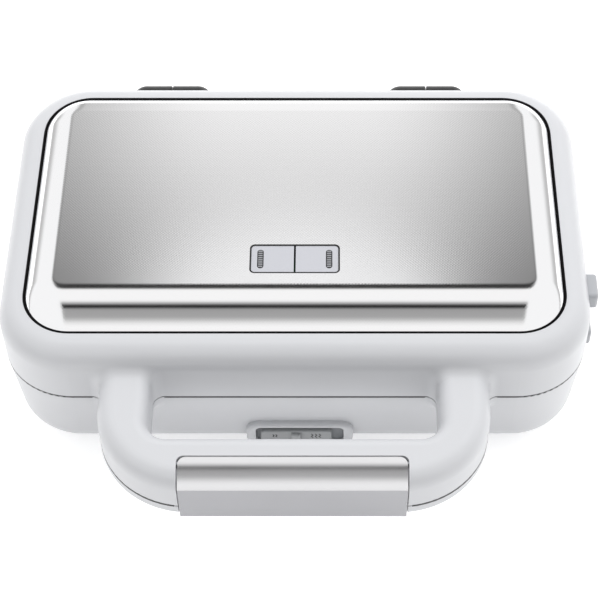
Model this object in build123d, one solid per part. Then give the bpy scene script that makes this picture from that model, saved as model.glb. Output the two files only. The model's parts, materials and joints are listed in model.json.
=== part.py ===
from build123d import *
import math
import os

# Two-slice sandwich toaster with a hinged lid, a loop handle in two halves and a latch clip.
# Millimetres, +X to the right seen from the front, +Y to the back, +Z up.
# Everything is drawn about the middle of the body on the worktop, and save() moves it so that
# the origin is the middle of the footprint, handle, hinges and buttons included.

# Body
BODY_WIDTH = 302.4
BODY_DEPTH = 189.7
BODY_CORNER = 38.0
FOOT_HEIGHT = 5.0
SEAM_HEIGHT = 54.0
SEAM_GAP = 0.8
LID_RISE = 34.0
WALL = 2.6
FLOOR = 3.6
BASE_DRAFT = 5.0
BASE_BOTTOM_ROUND = 14.0
LID_TOP_ROUND = 12.0
DECK = 2.5
DECK_BELOW_RIM = 2.5

# Pressed steel lid panel
PANEL_SIDE_BORDER = 14.3
PANEL_FRONT_BORDER = 16.2
PANEL_BACK_BORDER = 15.4
PANEL_CORNER = 24.0
PANEL_RISE = 9.0
PANEL_SHEET = 0.8
FIELD_INSET_SIDE = 15.4
FIELD_INSET_FRONT = 21.1
FIELD_CORNER = 7.0
ROLL_STEPS = 4
GROOVE = 1.3
GASKET_PROUD = 0.4
TAB_WIDTH = 8.0
TAB_DROP = 5.0
TAB_FROM_SIDE = 47.5
TAB_CLEARANCE = 0.3

# Loop handle, upper half on the lid and lower half on the base
HANDLE_FROM_SIDE = 53.7
HANDLE_STANDS_OFF = 64.75
HANDLE_CORNER = 46.0
HANDLE_ARM = 25.5
HANDLE_BAR = 27.4
HANDLE_HOLE_CORNER = 10.0
HANDLE_BELOW_RIM = 11.0
HANDLE_BELOW_SEAM = 8.0
HANDLE_SCREW_FROM_WALL = 14.0
HANDLE_TOP_ROUND = 9.0
HANDLE_INNER_ROUND = 7.0
HANDLE_BOTTOM_ROUND = 3.5
HANDLE_WALL = 5.0
HANDLE_ROOF = 8.5
HANDLE_COVER = 2.4
HANDLE_COVER_LIP = 2.0
HANDLE_COVER_FIT = 0.15
ROOT_ROUND = 6.0

# Latch clip on the front of the handle, its pin, spring and keeper
CLIP_FROM_HANDLE_SIDE = 42.0
CLIP_SHEET = 2.2
CLIP_PROUD = 0.5
CLIP_DEPTH = 15.0
CLIP_FOLD_DROP = 6.5
CLIP_TOP_RUN = 11.0
CLIP_GAP = 0.6
CLIP_CLEARANCE = 0.35
CLIP_CORNER = 4.0
CLIP_POCKET_CORNER = 3.4
CLIP_BELOW_HANDLE = 0.4
CLIP_KNUCKLE_RADIUS = 2.3
LATCH_PIN_RADIUS = 1.1
LATCH_PIN_SEAT = 2.5
LATCH_SPRING_LENGTH = 8.0
LATCH_SPRING_WIRE = 0.5
LATCH_SPRING_TURNS = 8
BARB_WIDTH = 36.0
BARB_REACH = 2.5
BARB_HEIGHT = 2.2
BARB_ABOVE_CLIP_END = 1.7
KEEPER_SHEET = 1.2
KEEPER_LENGTH = 11.0
KEEPER_CLEARANCE = 1.4

# Cooking plates
PLATE_SIDE_MARGIN = 23.5
PLATE_FRONT_MARGIN = 24.25
PLATE_CORNER = 12.0
PLATE_FLANGE = 4.3
PLATE_GAP = 0.3
PLATE_BORDER = 12.0
POCKET_LESS_THAN_LID = 20.5
POCKET_SLOPE_INSET = 6.0
POCKET_CORNER = 9.0
POCKET_RIDGE = 5.0
PLATE_WALL = 3.0
PLATE_FIT = 1.0

# Frames round the plates, reflectors and heating elements
FRAME_RECESS = 0.8
FRAME_SHEET = 2.5
FRAME_FIT = 0.3
FRAME_LEDGE = 3.0
FRAME_SKIRT = 2.0
LEDGE_WIDTH = 3.0
REFLECTOR_SHEET = 0.8
REFLECTOR_UNDER_ELEMENT = 1.7
REFLECTOR_LIP = 3.0
REFLECTOR_CORNER = 8.0
ELEMENT_RADIUS = 3.25
ELEMENT_GAP = 0.4
ELEMENT_BEND = 14.0
ELEMENT_FROM_PLATE_SIDE = 32.0
ELEMENT_FROM_PLATE_FRONT = 26.0
ELEMENT_ENDS = 30.0
ELEMENT_END_OVERHANG = 4.0
ELEMENT_PIN = 1.6
ELEMENT_PIN_LENGTH = 7.0
CLAMP_WIDTH = 6.0
CLAMP_LENGTH = 14.0
CLAMP_CLEARANCE = 0.05

# Plate hooks on the left, release buttons and slides on the right
HOOK_FROM_PLATE_FRONT = 33.0
HOOK_WIDTH = 10.0
HOOK_REACH = 3.5
HOOK_THICK = 1.6
BUTTON_FROM_FRONT = 53.05
BUTTON_LENGTH = 15.7
BUTTON_HEIGHT = 11.0
BUTTON_CORNER = 2.2
BUTTON_BELOW_RIM = 14.6
BUTTON_BELOW_SEAM = 12.2
BUTTON_PROUD = 5.0
BUTTON_TRAVEL = 3.5
BUTTON_CLEARANCE = 0.3
BUTTON_FLANGE = 1.5
BUTTON_FLANGE_RIM = 1.0
SLIDE_WIDTH = 18.0
SLIDE_THICK = 2.0
SLIDE_STRIP = 2.4
SLIDE_WEB = 2.5
SLIDE_WEB_WIDTH = 14.0
SLIDE_CLEARANCE = 0.3
LUG_WIDTH = 8.0
LUG_THICK = 1.6
LUG_FROM_EDGE = 3.4
TONGUE_REACH = 3.4
TONGUE_THICK = 2.0
TONGUE_FROM_SEAM = 11.1
SPRING_RADIUS = 2.2
SPRING_WIRE = 0.6
SPRING_TURNS = 5
SPRING_SPACE = 8.0
SPRING_POST = 2.0

# Hinges
HINGE_AXIS_BEHIND = 13.2
HINGE_ABOVE_SEAM = 2.5
HINGE_RADIUS = 10.0
HINGE_FROM_SIDE = 78.2
HINGE_LENGTH = 46.4
HINGE_SPLIT = 0.6
HINGE_PIN_RADIUS = 2.5
HINGE_PIN_SEAT = 17.0
PIN_CLEARANCE = 0.04
HINGE_OUTER_ROUND = 8.5
HINGE_SPLIT_ROUND = 0.4
HINGE_WEB_MARGIN = 3.0

# Heat selector in the front of the base
SELECTOR_X = 2.0
SELECTOR_HEIGHT = 18.6
SELECTOR_BOSS_WIDTH = 56.0
SELECTOR_BOSS_HEIGHT = 19.4
SELECTOR_BOSS_CORNER = 7.0
SELECTOR_BOSS_ROUND = 1.8
SELECTOR_PROUD = 0.9
SELECTOR_PAD = 8.0
BEZEL_BORDER_SIDE = 5.0
BEZEL_BORDER_TOP = 1.9
BEZEL_CORNER = 3.0
BEZEL_FIT = 0.15
BEZEL_FLOOR = 1.4
BEZEL_RECESS = 3.2
BEZEL_FLANGE = 3.0
KNOB_SPARE = 3.5
KNOB_BORDER_TOP = 2.2
KNOB_LEFT_OF_SELECTOR = 1.8
KNOB_PROUD = 1.0
KNOB_RIB_WIDTH = 5.0
KNOB_RIB_PROUD = 1.8
KNOB_STEM_WIDTH = 6.0
KNOB_STEM_HEIGHT = 4.0
SELECTOR_TRAVEL = 5.5
SELECTOR_CLEARANCE = 0.3

# Indicator in the lid panel
INDICATOR_FROM_FRONT = 55.55
INDICATOR_WIDTH = 46.0
INDICATOR_DEPTH = 18.8
INDICATOR_CORNER = 2.6
INDICATOR_RIM = 0.7
INDICATOR_FIT = 0.1
INDICATOR_SKIRT = 1.6
TILE_GAP = 1.0
TILE_THICK = 1.8
TILE_SUNK = 0.3
LENS_WIDTH = 3.2
LENS_LENGTH = 12.0
LENS_FROM_SIDE = 5.5
BOARD_THICK = 1.6
BOARD_BELOW_TILE = 6.0
LED_RADIUS = 1.5

# Feet, screws, gland and bottom cover
FOOT_FROM_SIDE = 38.5
FOOT_FROM_FRONT = 33.25
FOOT_RADIUS = 9.0
FOOT_PLUG = 4.0
SCREW_RADIUS = 1.5
SCREW_HEAD_RADIUS = 3.0
SCREW_HEAD = 1.3
SCREW_LENGTH = 9.0
SCREW_FIT = 0.1
BOSS_RADIUS = 4.0
BOSS_FROM_SIDE = 16.5
BOSS_FROM_FRONT = 19.25
GLAND_X = 0.0
GLAND_HEIGHT = 24.0
GLAND_BORE = 3.7
GLAND_RADIUS = 5.5
GLAND_FLANGE_RADIUS = 8.5
GLAND_FLANGE = 2.0
GLAND_PAD_RADIUS = 10.5
GLAND_PAD = 5.0
COVER_FROM_SIDE = 50.5
COVER_FROM_FRONT = 45.25
COVER_LEDGE = 8.0
COVER_SHEET = 1.8
COVER_FIT = 0.2
COVER_CORNER = 8.0
VENT_WIDTH = 3.0
VENT_LENGTH = 40.0
VENT_PITCH = 12.0
VENT_COUNT = 9

# Switch, thermostat, fuse, terminals and wires
SWITCH_WIDTH = 26.0
SWITCH_DEPTH = 10.0
SWITCH_HEIGHT = 13.0
SWITCH_EAR = 1.2
THERMOSTAT_X = 35.0
THERMOSTAT_RADIUS = 8.0
THERMOSTAT_BELOW_BLADES = 2.05
BLADE_LENGTH = 6.0
BLADE_WIDTH = 5.0
FUSE_X = -35.0
FUSE_RADIUS = 2.2
FUSE_LENGTH = 12.0
TERMINAL_X = -36.0
TERMINAL_FROM_BACK = 22.25
TERMINAL_WIDTH = 28.0
TERMINAL_DEPTH = 14.0
TERMINAL_UNDER_REFLECTOR = 3.35
WIRE_RADIUS = 1.1
WIRE_BEND = 3.0
WIRE_ABOVE_SELECTOR = 0.5
WIRE_BEHIND_PIN = 3.8
WIRE_SIDE_RUN = 25.0
INDICATOR_WIRE_FROM_SIDE = 98.5
INDICATOR_WIRE_FROM_BACK = 35.25

# Worked out from the sizes above
RIM_HEIGHT = SEAM_HEIGHT + LID_RISE
UPPER_HANDLE_TOP = RIM_HEIGHT - HANDLE_BELOW_RIM
LOWER_HANDLE_BOTTOM = SEAM_HEIGHT - HANDLE_BELOW_SEAM
POCKET_DEPTH = LID_RISE - POCKET_LESS_THAN_LID
UPPER_BUTTON_Z = RIM_HEIGHT - BUTTON_BELOW_RIM
LOWER_BUTTON_Z = SEAM_HEIGHT - BUTTON_BELOW_SEAM
HINGE_HEIGHT = SEAM_HEIGHT + HINGE_ABOVE_SEAM
WIRE_HEIGHT = SELECTOR_HEIGHT + WIRE_ABOVE_SELECTOR
BEZEL_WIDTH = SELECTOR_BOSS_WIDTH - 2 * BEZEL_BORDER_SIDE
BEZEL_HEIGHT = SELECTOR_BOSS_HEIGHT - 2 * BEZEL_BORDER_TOP
KNOB_WIDTH = BEZEL_WIDTH - SELECTOR_TRAVEL - KNOB_SPARE
KNOB_HEIGHT = BEZEL_HEIGHT - 2 * KNOB_BORDER_TOP
KNOB_X = SELECTOR_X - KNOB_LEFT_OF_SELECTOR
LENS_X = INDICATOR_WIDTH / 2 - LENS_FROM_SIDE
BODY_FRONT = -BODY_DEPTH / 2
BODY_BACK = BODY_DEPTH / 2
BODY_SIDE = BODY_WIDTH / 2
PANEL_WIDTH = BODY_WIDTH - 2 * PANEL_SIDE_BORDER
PANEL_DEPTH = BODY_DEPTH - PANEL_FRONT_BORDER - PANEL_BACK_BORDER
PANEL_Y = (PANEL_FRONT_BORDER - PANEL_BACK_BORDER) / 2
TAB_X = PANEL_WIDTH / 2 - TAB_FROM_SIDE
HANDLE_WIDTH = BODY_WIDTH - 2 * HANDLE_FROM_SIDE
HANDLE_REACH = BODY_BACK + HANDLE_STANDS_OFF
CLIP_WIDTH = HANDLE_WIDTH - 2 * CLIP_FROM_HANDLE_SIDE
PLATE_WIDTH = BODY_WIDTH - 2 * PLATE_SIDE_MARGIN
PLATE_DEPTH = BODY_DEPTH - 2 * PLATE_FRONT_MARGIN
ELEMENT_WIDTH = PLATE_WIDTH - 2 * ELEMENT_FROM_PLATE_SIDE
ELEMENT_LENGTH = PLATE_DEPTH - 2 * ELEMENT_FROM_PLATE_FRONT
HOOK_Y = PLATE_DEPTH / 2 - HOOK_FROM_PLATE_FRONT
BUTTON_Y = BODY_FRONT + BUTTON_FROM_FRONT
HINGE_X = BODY_SIDE - HINGE_FROM_SIDE
INDICATOR_Y = BODY_FRONT + INDICATOR_FROM_FRONT
FOOT_X = BODY_SIDE - FOOT_FROM_SIDE
FOOT_Y = BODY_BACK - FOOT_FROM_FRONT
BOSS_X = BODY_SIDE - BOSS_FROM_SIDE
BOSS_Y = BODY_BACK - BOSS_FROM_FRONT
COVER_WIDTH = BODY_WIDTH - 2 * COVER_FROM_SIDE
COVER_DEPTH = BODY_DEPTH - 2 * COVER_FROM_FRONT
TERMINAL_Y = BODY_BACK - TERMINAL_FROM_BACK
INDICATOR_WIRE_X = BODY_SIDE - INDICATOR_WIRE_FROM_SIDE
INDICATOR_WIRE_Y = BODY_BACK - INDICATOR_WIRE_FROM_BACK
BASE_TOP = SEAM_HEIGHT - SEAM_GAP / 2
LID_BOTTOM = SEAM_HEIGHT + SEAM_GAP / 2
FLOOR_TOP = FOOT_HEIGHT + FLOOR
DECK_TOP = RIM_HEIGHT - DECK_BELOW_RIM
DECK_UNDERSIDE = DECK_TOP - DECK
FIELD_HEIGHT = RIM_HEIGHT + PANEL_RISE
FIELD_UNDERSIDE = FIELD_HEIGHT - PANEL_SHEET
LID_INNER_SIDE = BODY_SIDE - WALL
LID_INNER_BACK = BODY_BACK - WALL
LID_INNER_ROUND = LID_TOP_ROUND - WALL
HANDLE_FRONT = -HANDLE_REACH
HANDLE_ROOT = BODY_FRONT + HANDLE_HOLE_CORNER
HANDLE_INNER = HANDLE_FRONT + HANDLE_BAR
HOLE_WIDTH = HANDLE_WIDTH - 2 * HANDLE_ARM
BASE_SHRINK = math.tan(math.radians(BASE_DRAFT))
PLATE_TOP = SEAM_HEIGHT - PLATE_GAP / 2
PLATE_BOTTOM = PLATE_TOP - POCKET_DEPTH - PLATE_WALL
PLATE_SIDE = PLATE_WIDTH / 2
LEDGE_TOP = PLATE_TOP - PLATE_FLANGE
FRAME_TOP = BASE_TOP - FRAME_RECESS
FRAME_BOTTOM = FRAME_TOP - FRAME_SHEET
OPENING_WIDTH = PLATE_WIDTH + 2 * PLATE_FIT
OPENING_DEPTH = PLATE_DEPTH + 2 * PLATE_FIT
OPENING_CORNER = PLATE_CORNER + PLATE_FIT
REFLECTOR_TOP = LEDGE_TOP - FRAME_LEDGE
REFLECTOR_WIDTH = PLATE_WIDTH - 4.0
REFLECTOR_LENGTH = PLATE_DEPTH - 4.0
ELEMENT_Z = PLATE_BOTTOM - ELEMENT_GAP - ELEMENT_RADIUS
REFLECTOR_FLOOR = ELEMENT_Z - ELEMENT_RADIUS - REFLECTOR_UNDER_ELEMENT - REFLECTOR_SHEET
TERMINAL_TOP = REFLECTOR_FLOOR - TERMINAL_UNDER_REFLECTOR
ELEMENT_BACK = REFLECTOR_LENGTH / 2 + ELEMENT_END_OVERHANG
TONGUE_TOP = SEAM_HEIGHT - TONGUE_FROM_SEAM
LUG_X = PLATE_SIDE - LUG_FROM_EDGE
SLIDE_Z = TONGUE_TOP + SLIDE_CLEARANCE
SLIDE_INNER = LUG_X - LUG_THICK - SLIDE_STRIP - 0.4
POST_X = REFLECTOR_WIDTH / 2 + REFLECTOR_LIP + 0.5
WEB_X = POST_X + SPRING_POST + SPRING_SPACE
CLIP_TOP = UPPER_HANDLE_TOP - CLIP_PROUD
CLIP_FRONT = HANDLE_FRONT - CLIP_PROUD
CLIP_INNER = CLIP_FRONT + CLIP_SHEET
CLIP_END = LOWER_HANDLE_BOTTOM - CLIP_BELOW_HANDLE
CLIP_FOLD = CLIP_TOP - CLIP_FOLD_DROP
LATCH_Y = CLIP_FRONT + CLIP_DEPTH - CLIP_KNUCKLE_RADIUS
LATCH_Z = CLIP_TOP - CLIP_KNUCKLE_RADIUS
BARB_Z = CLIP_END + BARB_ABOVE_CLIP_END
BARB_TIP = CLIP_INNER + BARB_REACH
HINGE_Y = BODY_BACK + HINGE_AXIS_BEHIND
SELECTOR_FRONT = BODY_FRONT - SELECTOR_PROUD
SELECTOR_BACK = SELECTOR_FRONT + SELECTOR_PAD
BEZEL_FACE = SELECTOR_FRONT + BEZEL_RECESS
SWITCH_FRONT = SELECTOR_BACK + BEZEL_FLOOR
TILE_TOP = FIELD_HEIGHT - TILE_SUNK
TILE_BOTTOM = TILE_TOP - TILE_THICK
BOARD_TOP = TILE_BOTTOM - BOARD_BELOW_TILE
SEAM_PLANE = Plane.XY.offset(SEAM_HEIGHT)
ORIGIN_X = BUTTON_PROUD / 2
ORIGIN_Y = (HINGE_Y + HINGE_RADIUS + CLIP_FRONT) / 2


def slab(width, depth, corner, low, high, x=0.0, y=0.0):
    """Upright block with rounded corners in plan."""
    return extrude(Pos(x, y, low) * RectangleRounded(width, depth, corner), amount=high - low)


def block(x0, x1, y0, y1, z0, z1):
    """Plain block between two corners."""
    return Pos((x0 + x1) / 2, (y0 + y1) / 2, (z0 + z1) / 2) * Box(x1 - x0, y1 - y0, z1 - z0)


def front_slab(width, height, corner, x, z, y0, y1):
    """Block with rounded corners seen from the front."""
    plane = Plane(origin=(x, y0, z), x_dir=(-1, 0, 0), z_dir=(0, 1, 0))
    return extrude(plane * RectangleRounded(width, height, corner), amount=y1 - y0)


def side_slab(length, height, corner, y, z, x0, x1):
    """Block with rounded corners seen from the right."""
    plane = Plane(origin=(x0, y, z), x_dir=(0, 1, 0), z_dir=(1, 0, 0))
    return extrude(plane * RectangleRounded(length, height, corner), amount=x1 - x0)


def rod_x(radius, x0, x1, y, z):
    return extrude(Plane(origin=(x0, y, z), z_dir=(1, 0, 0)) * Circle(radius), amount=x1 - x0)


def rod_y(radius, x, y0, y1, z):
    return extrude(Plane(origin=(x, y0, z), z_dir=(0, 1, 0)) * Circle(radius), amount=y1 - y0)


def rod_z(radius, x, y, z0, z1):
    return extrude(Pos(x, y, z0) * Circle(radius), amount=z1 - z0)


def upper(shape):
    """The same piece in the lid: mirrored through the seam between the halves."""
    return mirror(shape, about=SEAM_PLANE)


def edges_at(shape, z):
    return shape.edges().filter_by_position(Axis.Z, z - 0.01, z + 0.01)


def four(x, y):
    return [(sx * x, sy * y) for sx in (-1, 1) for sy in (-1, 1)]


def save(name, *shapes):
    """Write one node; several separate solids go in together."""
    solids = [s for shape in shapes for s in shape.solids()]
    whole = solids[0] if len(solids) == 1 else Compound(solids)
    export_step(Pos(-ORIGIN_X, -ORIGIN_Y, 0) * whole, f"parts/{name}.step")


def base_side(z, inset=0.0):
    """Distance from the middle plane to the base's tapered side wall at height z."""
    return BODY_SIDE - inset - (BASE_TOP - z) * BASE_SHRINK


def base_front(z, inset=0.0):
    """The same from the middle to the front or back wall."""
    return BODY_BACK - inset - (BASE_TOP - z) * BASE_SHRINK


def lid_side(z):
    """Inside of the lid's side wall, with the round under the deck."""
    rise = max(0.0, z - (DECK_UNDERSIDE - LID_INNER_ROUND))
    return LID_INNER_SIDE - LID_INNER_ROUND + math.sqrt(LID_INNER_ROUND ** 2 - rise ** 2)


# Shapes of the two housings

def base_shape(inset, low):
    """Tapered tub, inset all round, from low up to the seam."""
    def outline(z):
        shrink = 2 * (inset + (BASE_TOP - z) * BASE_SHRINK)
        return Pos(0, 0, z) * RectangleRounded(BODY_WIDTH - shrink, BODY_DEPTH - shrink,
                                               BODY_CORNER - shrink / 2)
    tub = loft([outline(low), outline(BASE_TOP)], ruled=True)
    return fillet(edges_at(tub, low), BASE_BOTTOM_ROUND - inset)


def handle_outline(inset=0.0):
    """Plan of the handle loop, its arms running back into the body."""
    outer = Pos(0, (HANDLE_FRONT + HANDLE_ROOT) / 2) * Rectangle(HANDLE_WIDTH, HANDLE_ROOT - HANDLE_FRONT)
    outer = fillet(outer.vertices().group_by(Axis.Y)[0], HANDLE_CORNER)
    hole = Pos(0, (HANDLE_INNER + HANDLE_ROOT) / 2) * Rectangle(HOLE_WIDTH, HANDLE_ROOT - HANDLE_INNER)
    hole = fillet(hole.vertices().group_by(Axis.Y)[0], HANDLE_HOLE_CORNER)
    if inset:
        outer = offset(outer, amount=-inset)
        hole = offset(hole, amount=inset)
    return outer - hole


def around_hole(edge):
    """True for the handle's edges beside the finger hole."""
    c = edge.center()
    return abs(c.X) < HOLE_WIDTH / 2 + 0.5 and HANDLE_INNER - 0.5 < c.Y < HANDLE_ROOT - 1


def upper_handle():
    loop = extrude(Pos(0, 0, LID_BOTTOM) * handle_outline(), amount=UPPER_HANDLE_TOP - LID_BOTTOM)
    top = [e for e in edges_at(loop, UPPER_HANDLE_TOP) if e.center().Y < HANDLE_ROOT - 1]
    loop = fillet([e for e in top if not around_hole(e)], HANDLE_TOP_ROUND)
    return fillet([e for e in edges_at(loop, UPPER_HANDLE_TOP) if around_hole(e)], HANDLE_INNER_ROUND)


def lower_handle():
    loop = extrude(Pos(0, 0, LOWER_HANDLE_BOTTOM) * handle_outline(), amount=BASE_TOP - LOWER_HANDLE_BOTTOM)
    bottom = [e for e in edges_at(loop, LOWER_HANDLE_BOTTOM) if e.center().Y < HANDLE_ROOT - 1]
    return fillet(bottom, HANDLE_BOTTOM_ROUND)


def blend_roots(shape):
    """Round the corners where the handle's arms leave the front wall."""
    roots = []
    for e in shape.edges():
        c, size = e.center(), e.bounding_box().size
        on_wall = BODY_FRONT - 0.6 < e.bounding_box().min.Y and e.bounding_box().max.Y < BODY_FRONT + 3
        at_arm = HOLE_WIDTH / 2 - 1 < abs(c.X) < HANDLE_WIDTH / 2 + 1 and size.X < HANDLE_ARM + 1
        in_upper = LID_BOTTOM + 1 < c.Z < UPPER_HANDLE_TOP + 1
        in_lower = LOWER_HANDLE_BOTTOM - 1 < c.Z < BASE_TOP - 1
        if on_wall and at_arm and (in_upper or in_lower) and size.X + size.Z > 2:
            roots.append(e)
    return fillet(roots, ROOT_ROUND)


def clip_curve(inset):
    """Side profile of the clip's outside, moved in by inset: top run, curve, fold and front face."""
    bend_y = CLIP_FRONT + CLIP_TOP_RUN
    radius = (CLIP_TOP_RUN ** 2 + CLIP_FOLD_DROP ** 2) / (2 * CLIP_FOLD_DROP)
    bend_z = CLIP_TOP - radius
    small = radius - inset
    front = CLIP_FRONT + inset
    fold = bend_z + math.sqrt(small ** 2 - (front - bend_y) ** 2)
    half = math.atan2(fold - bend_z, bend_y - front)
    middle = (math.pi / 2 + half) / 2
    return [
        Line((LATCH_Y, CLIP_TOP - inset), (bend_y, CLIP_TOP - inset)),
        ThreePointArc(
            (bend_y, CLIP_TOP - inset),
            (bend_y - small * math.cos(middle), bend_z + small * math.sin(middle)),
            (front, fold)),
    ], (front, fold)


def profile_x(edges, width):
    """Extrude a closed side profile along X, symmetric about the middle plane."""
    face = Plane.YZ.offset(-width / 2) * make_face(edges)
    return extrude(face, amount=width)


def clip_pocket():
    """Room for the clip in both halves of the handle."""
    edges, end = clip_curve(CLIP_SHEET + CLIP_CLEARANCE)
    low = LOWER_HANDLE_BOTTOM - 10
    high = UPPER_HANDLE_TOP + 5
    out = HANDLE_FRONT - 10
    corners = [end, (end[0], low), (out, low), (out, high), (LATCH_Y, high)]
    corners.append((LATCH_Y, CLIP_TOP - CLIP_SHEET - CLIP_CLEARANCE))
    edges += [Line(a, b) for a, b in zip(corners, corners[1:])]
    width = CLIP_WIDTH + 2 * CLIP_GAP
    room = CLIP_KNUCKLE_RADIUS + CLIP_CLEARANCE
    knuckle = rod_x(room, -width / 2, width / 2, LATCH_Y, LATCH_Z)
    above = block(-width / 2, width / 2, LATCH_Y - room, LATCH_Y + room, LATCH_Z, high)
    plan = Pos(0, (out + LATCH_Y + room) / 2, low) * Rectangle(width, LATCH_Y + room - out)
    plan = fillet(plan.vertices().group_by(Axis.Y)[-1], CLIP_POCKET_CORNER)
    return (profile_x(edges, width) + knuckle + above) & extrude(plan, amount=high - low)


# Housings

def base_housing():
    outer = base_shape(0, FOOT_HEIGHT)
    body = blend_roots(outer + lower_handle())
    cavity = base_shape(WALL, FLOOR_TOP)
    boss_y = SELECTOR_FRONT
    boss = front_slab(SELECTOR_BOSS_WIDTH, SELECTOR_BOSS_HEIGHT, SELECTOR_BOSS_CORNER,
                      SELECTOR_X, SELECTOR_HEIGHT, boss_y, SELECTOR_BACK)
    boss = fillet(boss.edges().filter_by_position(Axis.Y, boss_y - 0.01, boss_y + 0.01), SELECTOR_BOSS_ROUND)
    body = body - cavity + boss
    posts = []
    for x, y in four(BOSS_X, BOSS_Y):
        posts.append(rod_z(BOSS_RADIUS, x, y, FLOOR_TOP - 1, FRAME_BOTTOM))
    for x, y in COVER_SCREWS:
        posts.append(rod_z(BOSS_RADIUS, x, y, FLOOR_TOP - 1, FLOOR_TOP + SCREW_LENGTH - FLOOR + COVER_SHEET))
    posts.append(spring_post(FLOOR_TOP - 1, SLIDE_Z - 0.4))
    pad_face = GLAND_Y - GLAND_FLANGE
    for post in posts:
        body += post & outer
    body += rod_y(GLAND_PAD_RADIUS, GLAND_X, pad_face - GLAND_PAD, pad_face, GLAND_HEIGHT)
    body -= front_slab(BEZEL_WIDTH, BEZEL_HEIGHT, BEZEL_CORNER, SELECTOR_X, SELECTOR_HEIGHT,
                       boss_y - 1, SELECTOR_BACK + 1)
    spare = 2 * BEZEL_FIT
    body -= front_slab(BEZEL_WIDTH + 2 * BEZEL_FLANGE + spare, BEZEL_HEIGHT + spare,
                       BEZEL_CORNER, SELECTOR_X, SELECTOR_HEIGHT, SELECTOR_BACK, SWITCH_FRONT + SWITCH_EAR)
    body -= button_hole(LOWER_BUTTON_Z)
    body -= rod_y(GLAND_RADIUS + SCREW_FIT, GLAND_X, pad_face - GLAND_PAD - 1, pad_face + 1, GLAND_HEIGHT)
    body -= slab(COVER_WIDTH, COVER_DEPTH, COVER_CORNER, FOOT_HEIGHT - 1, FOOT_HEIGHT + COVER_SHEET)
    inner = 2 * COVER_LEDGE
    body -= slab(COVER_WIDTH - inner, COVER_DEPTH - inner, COVER_CORNER / 2, FOOT_HEIGHT, FLOOR_TOP + 1)
    for x, y in four(FOOT_X, FOOT_Y):
        body -= rod_z(FOOT_PLUG + SCREW_FIT, x, y, FOOT_HEIGHT - 1, FLOOR_TOP + 1)
    for x, y in four(BOSS_X, BOSS_Y):
        body -= rod_z(SCREW_RADIUS + SCREW_FIT, x, y, FRAME_BOTTOM - SCREW_LENGTH, FRAME_BOTTOM + 1)
    for x, y in COVER_SCREWS:
        body -= rod_z(SCREW_RADIUS + SCREW_FIT, x, y, FOOT_HEIGHT, FOOT_HEIGHT + SCREW_LENGTH + 0.5)
    for x in BASE_KNUCKLE_SCREWS:
        body -= rod_y(SCREW_RADIUS + SCREW_FIT, x, BODY_BACK - 10, BODY_BACK + 1, BASE_KNUCKLE_SCREW_Z)
    body -= clip_pocket()
    slot = 0.3
    body -= block(-BARB_WIDTH / 2 - slot, BARB_WIDTH / 2 + slot, HANDLE_FRONT - 1, BARB_TIP + slot,
                  BARB_Z - slot, BASE_TOP + 1)
    return body - keeper_slot()


def lid_housing():
    body = slab(BODY_WIDTH, BODY_DEPTH, BODY_CORNER, LID_BOTTOM, RIM_HEIGHT)
    body = fillet(edges_at(body, RIM_HEIGHT), LID_TOP_ROUND)
    body = blend_roots(body + upper_handle())
    cavity = slab(BODY_WIDTH - 2 * WALL, BODY_DEPTH - 2 * WALL, BODY_CORNER - WALL, LID_BOTTOM - 1,
                  DECK_UNDERSIDE)
    body -= fillet(edges_at(cavity, DECK_UNDERSIDE), LID_INNER_ROUND)
    for x, y in four(BOSS_X, BOSS_Y):
        top = DECK_UNDERSIDE + 1
        body += rod_z(BOSS_RADIUS, x, y, 2 * SEAM_HEIGHT - FRAME_BOTTOM, top)
    body += spring_post(2 * SEAM_HEIGHT - SLIDE_Z + 0.4, DECK_UNDERSIDE + 1)
    body -= slab(PANEL_WIDTH + 2 * GROOVE, PANEL_DEPTH + 2 * GROOVE, PANEL_CORNER + GROOVE, DECK_TOP,
                 RIM_HEIGHT + 1, 0, PANEL_Y)
    for x, y in four(BOSS_X, BOSS_Y):
        low = 2 * SEAM_HEIGHT - FRAME_BOTTOM
        body -= rod_z(SCREW_RADIUS + SCREW_FIT, x, y, low - 1, low + SCREW_LENGTH)
    for x, y in TABS:
        body -= tab(x, y, TAB_CLEARANCE, TAB_DROP + 1)
    body -= button_hole(UPPER_BUTTON_Z)
    body -= rod_z(WIRE_RADIUS + 1, INDICATOR_WIRE_X, INDICATOR_WIRE_Y, DECK_UNDERSIDE - 1, DECK_TOP + 1)
    for x in LID_KNUCKLE_SCREWS:
        body -= rod_y(SCREW_RADIUS + SCREW_FIT, x, BODY_BACK - 10, BODY_BACK + 1, LID_KNUCKLE_SCREW_Z)
    body -= clip_pocket()
    body -= handle_cavity()
    for x, y in HANDLE_SCREWS:
        post = rod_z(BOSS_RADIUS, x, y, LID_BOTTOM + HANDLE_COVER, UPPER_HANDLE_TOP - HANDLE_ROOF + 0.5)
        body += post - rod_z(SCREW_RADIUS + SCREW_FIT, x, y, LID_BOTTOM,
                             LID_BOTTOM + SCREW_HEAD + SCREW_LENGTH)
    half = CLIP_WIDTH / 2 + CLIP_GAP + LATCH_PIN_SEAT
    return body - rod_x(LATCH_PIN_RADIUS + PIN_CLEARANCE, -half, half, LATCH_Y, LATCH_Z)


def handle_cavity():
    """Hollow of the upper handle with the rebate for its cover, both open from below."""
    in_front = block(-HANDLE_WIDTH, HANDLE_WIDTH, HANDLE_FRONT, BODY_FRONT - 3, 0, RIM_HEIGHT)
    hollow = extrude(Pos(0, 0, LID_BOTTOM - 1) * handle_outline(HANDLE_WALL),
                     amount=UPPER_HANDLE_TOP - HANDLE_ROOF - LID_BOTTOM + 1)
    return (hollow + handle_cover_shape(0, LID_BOTTOM - 1)) & in_front


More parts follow.
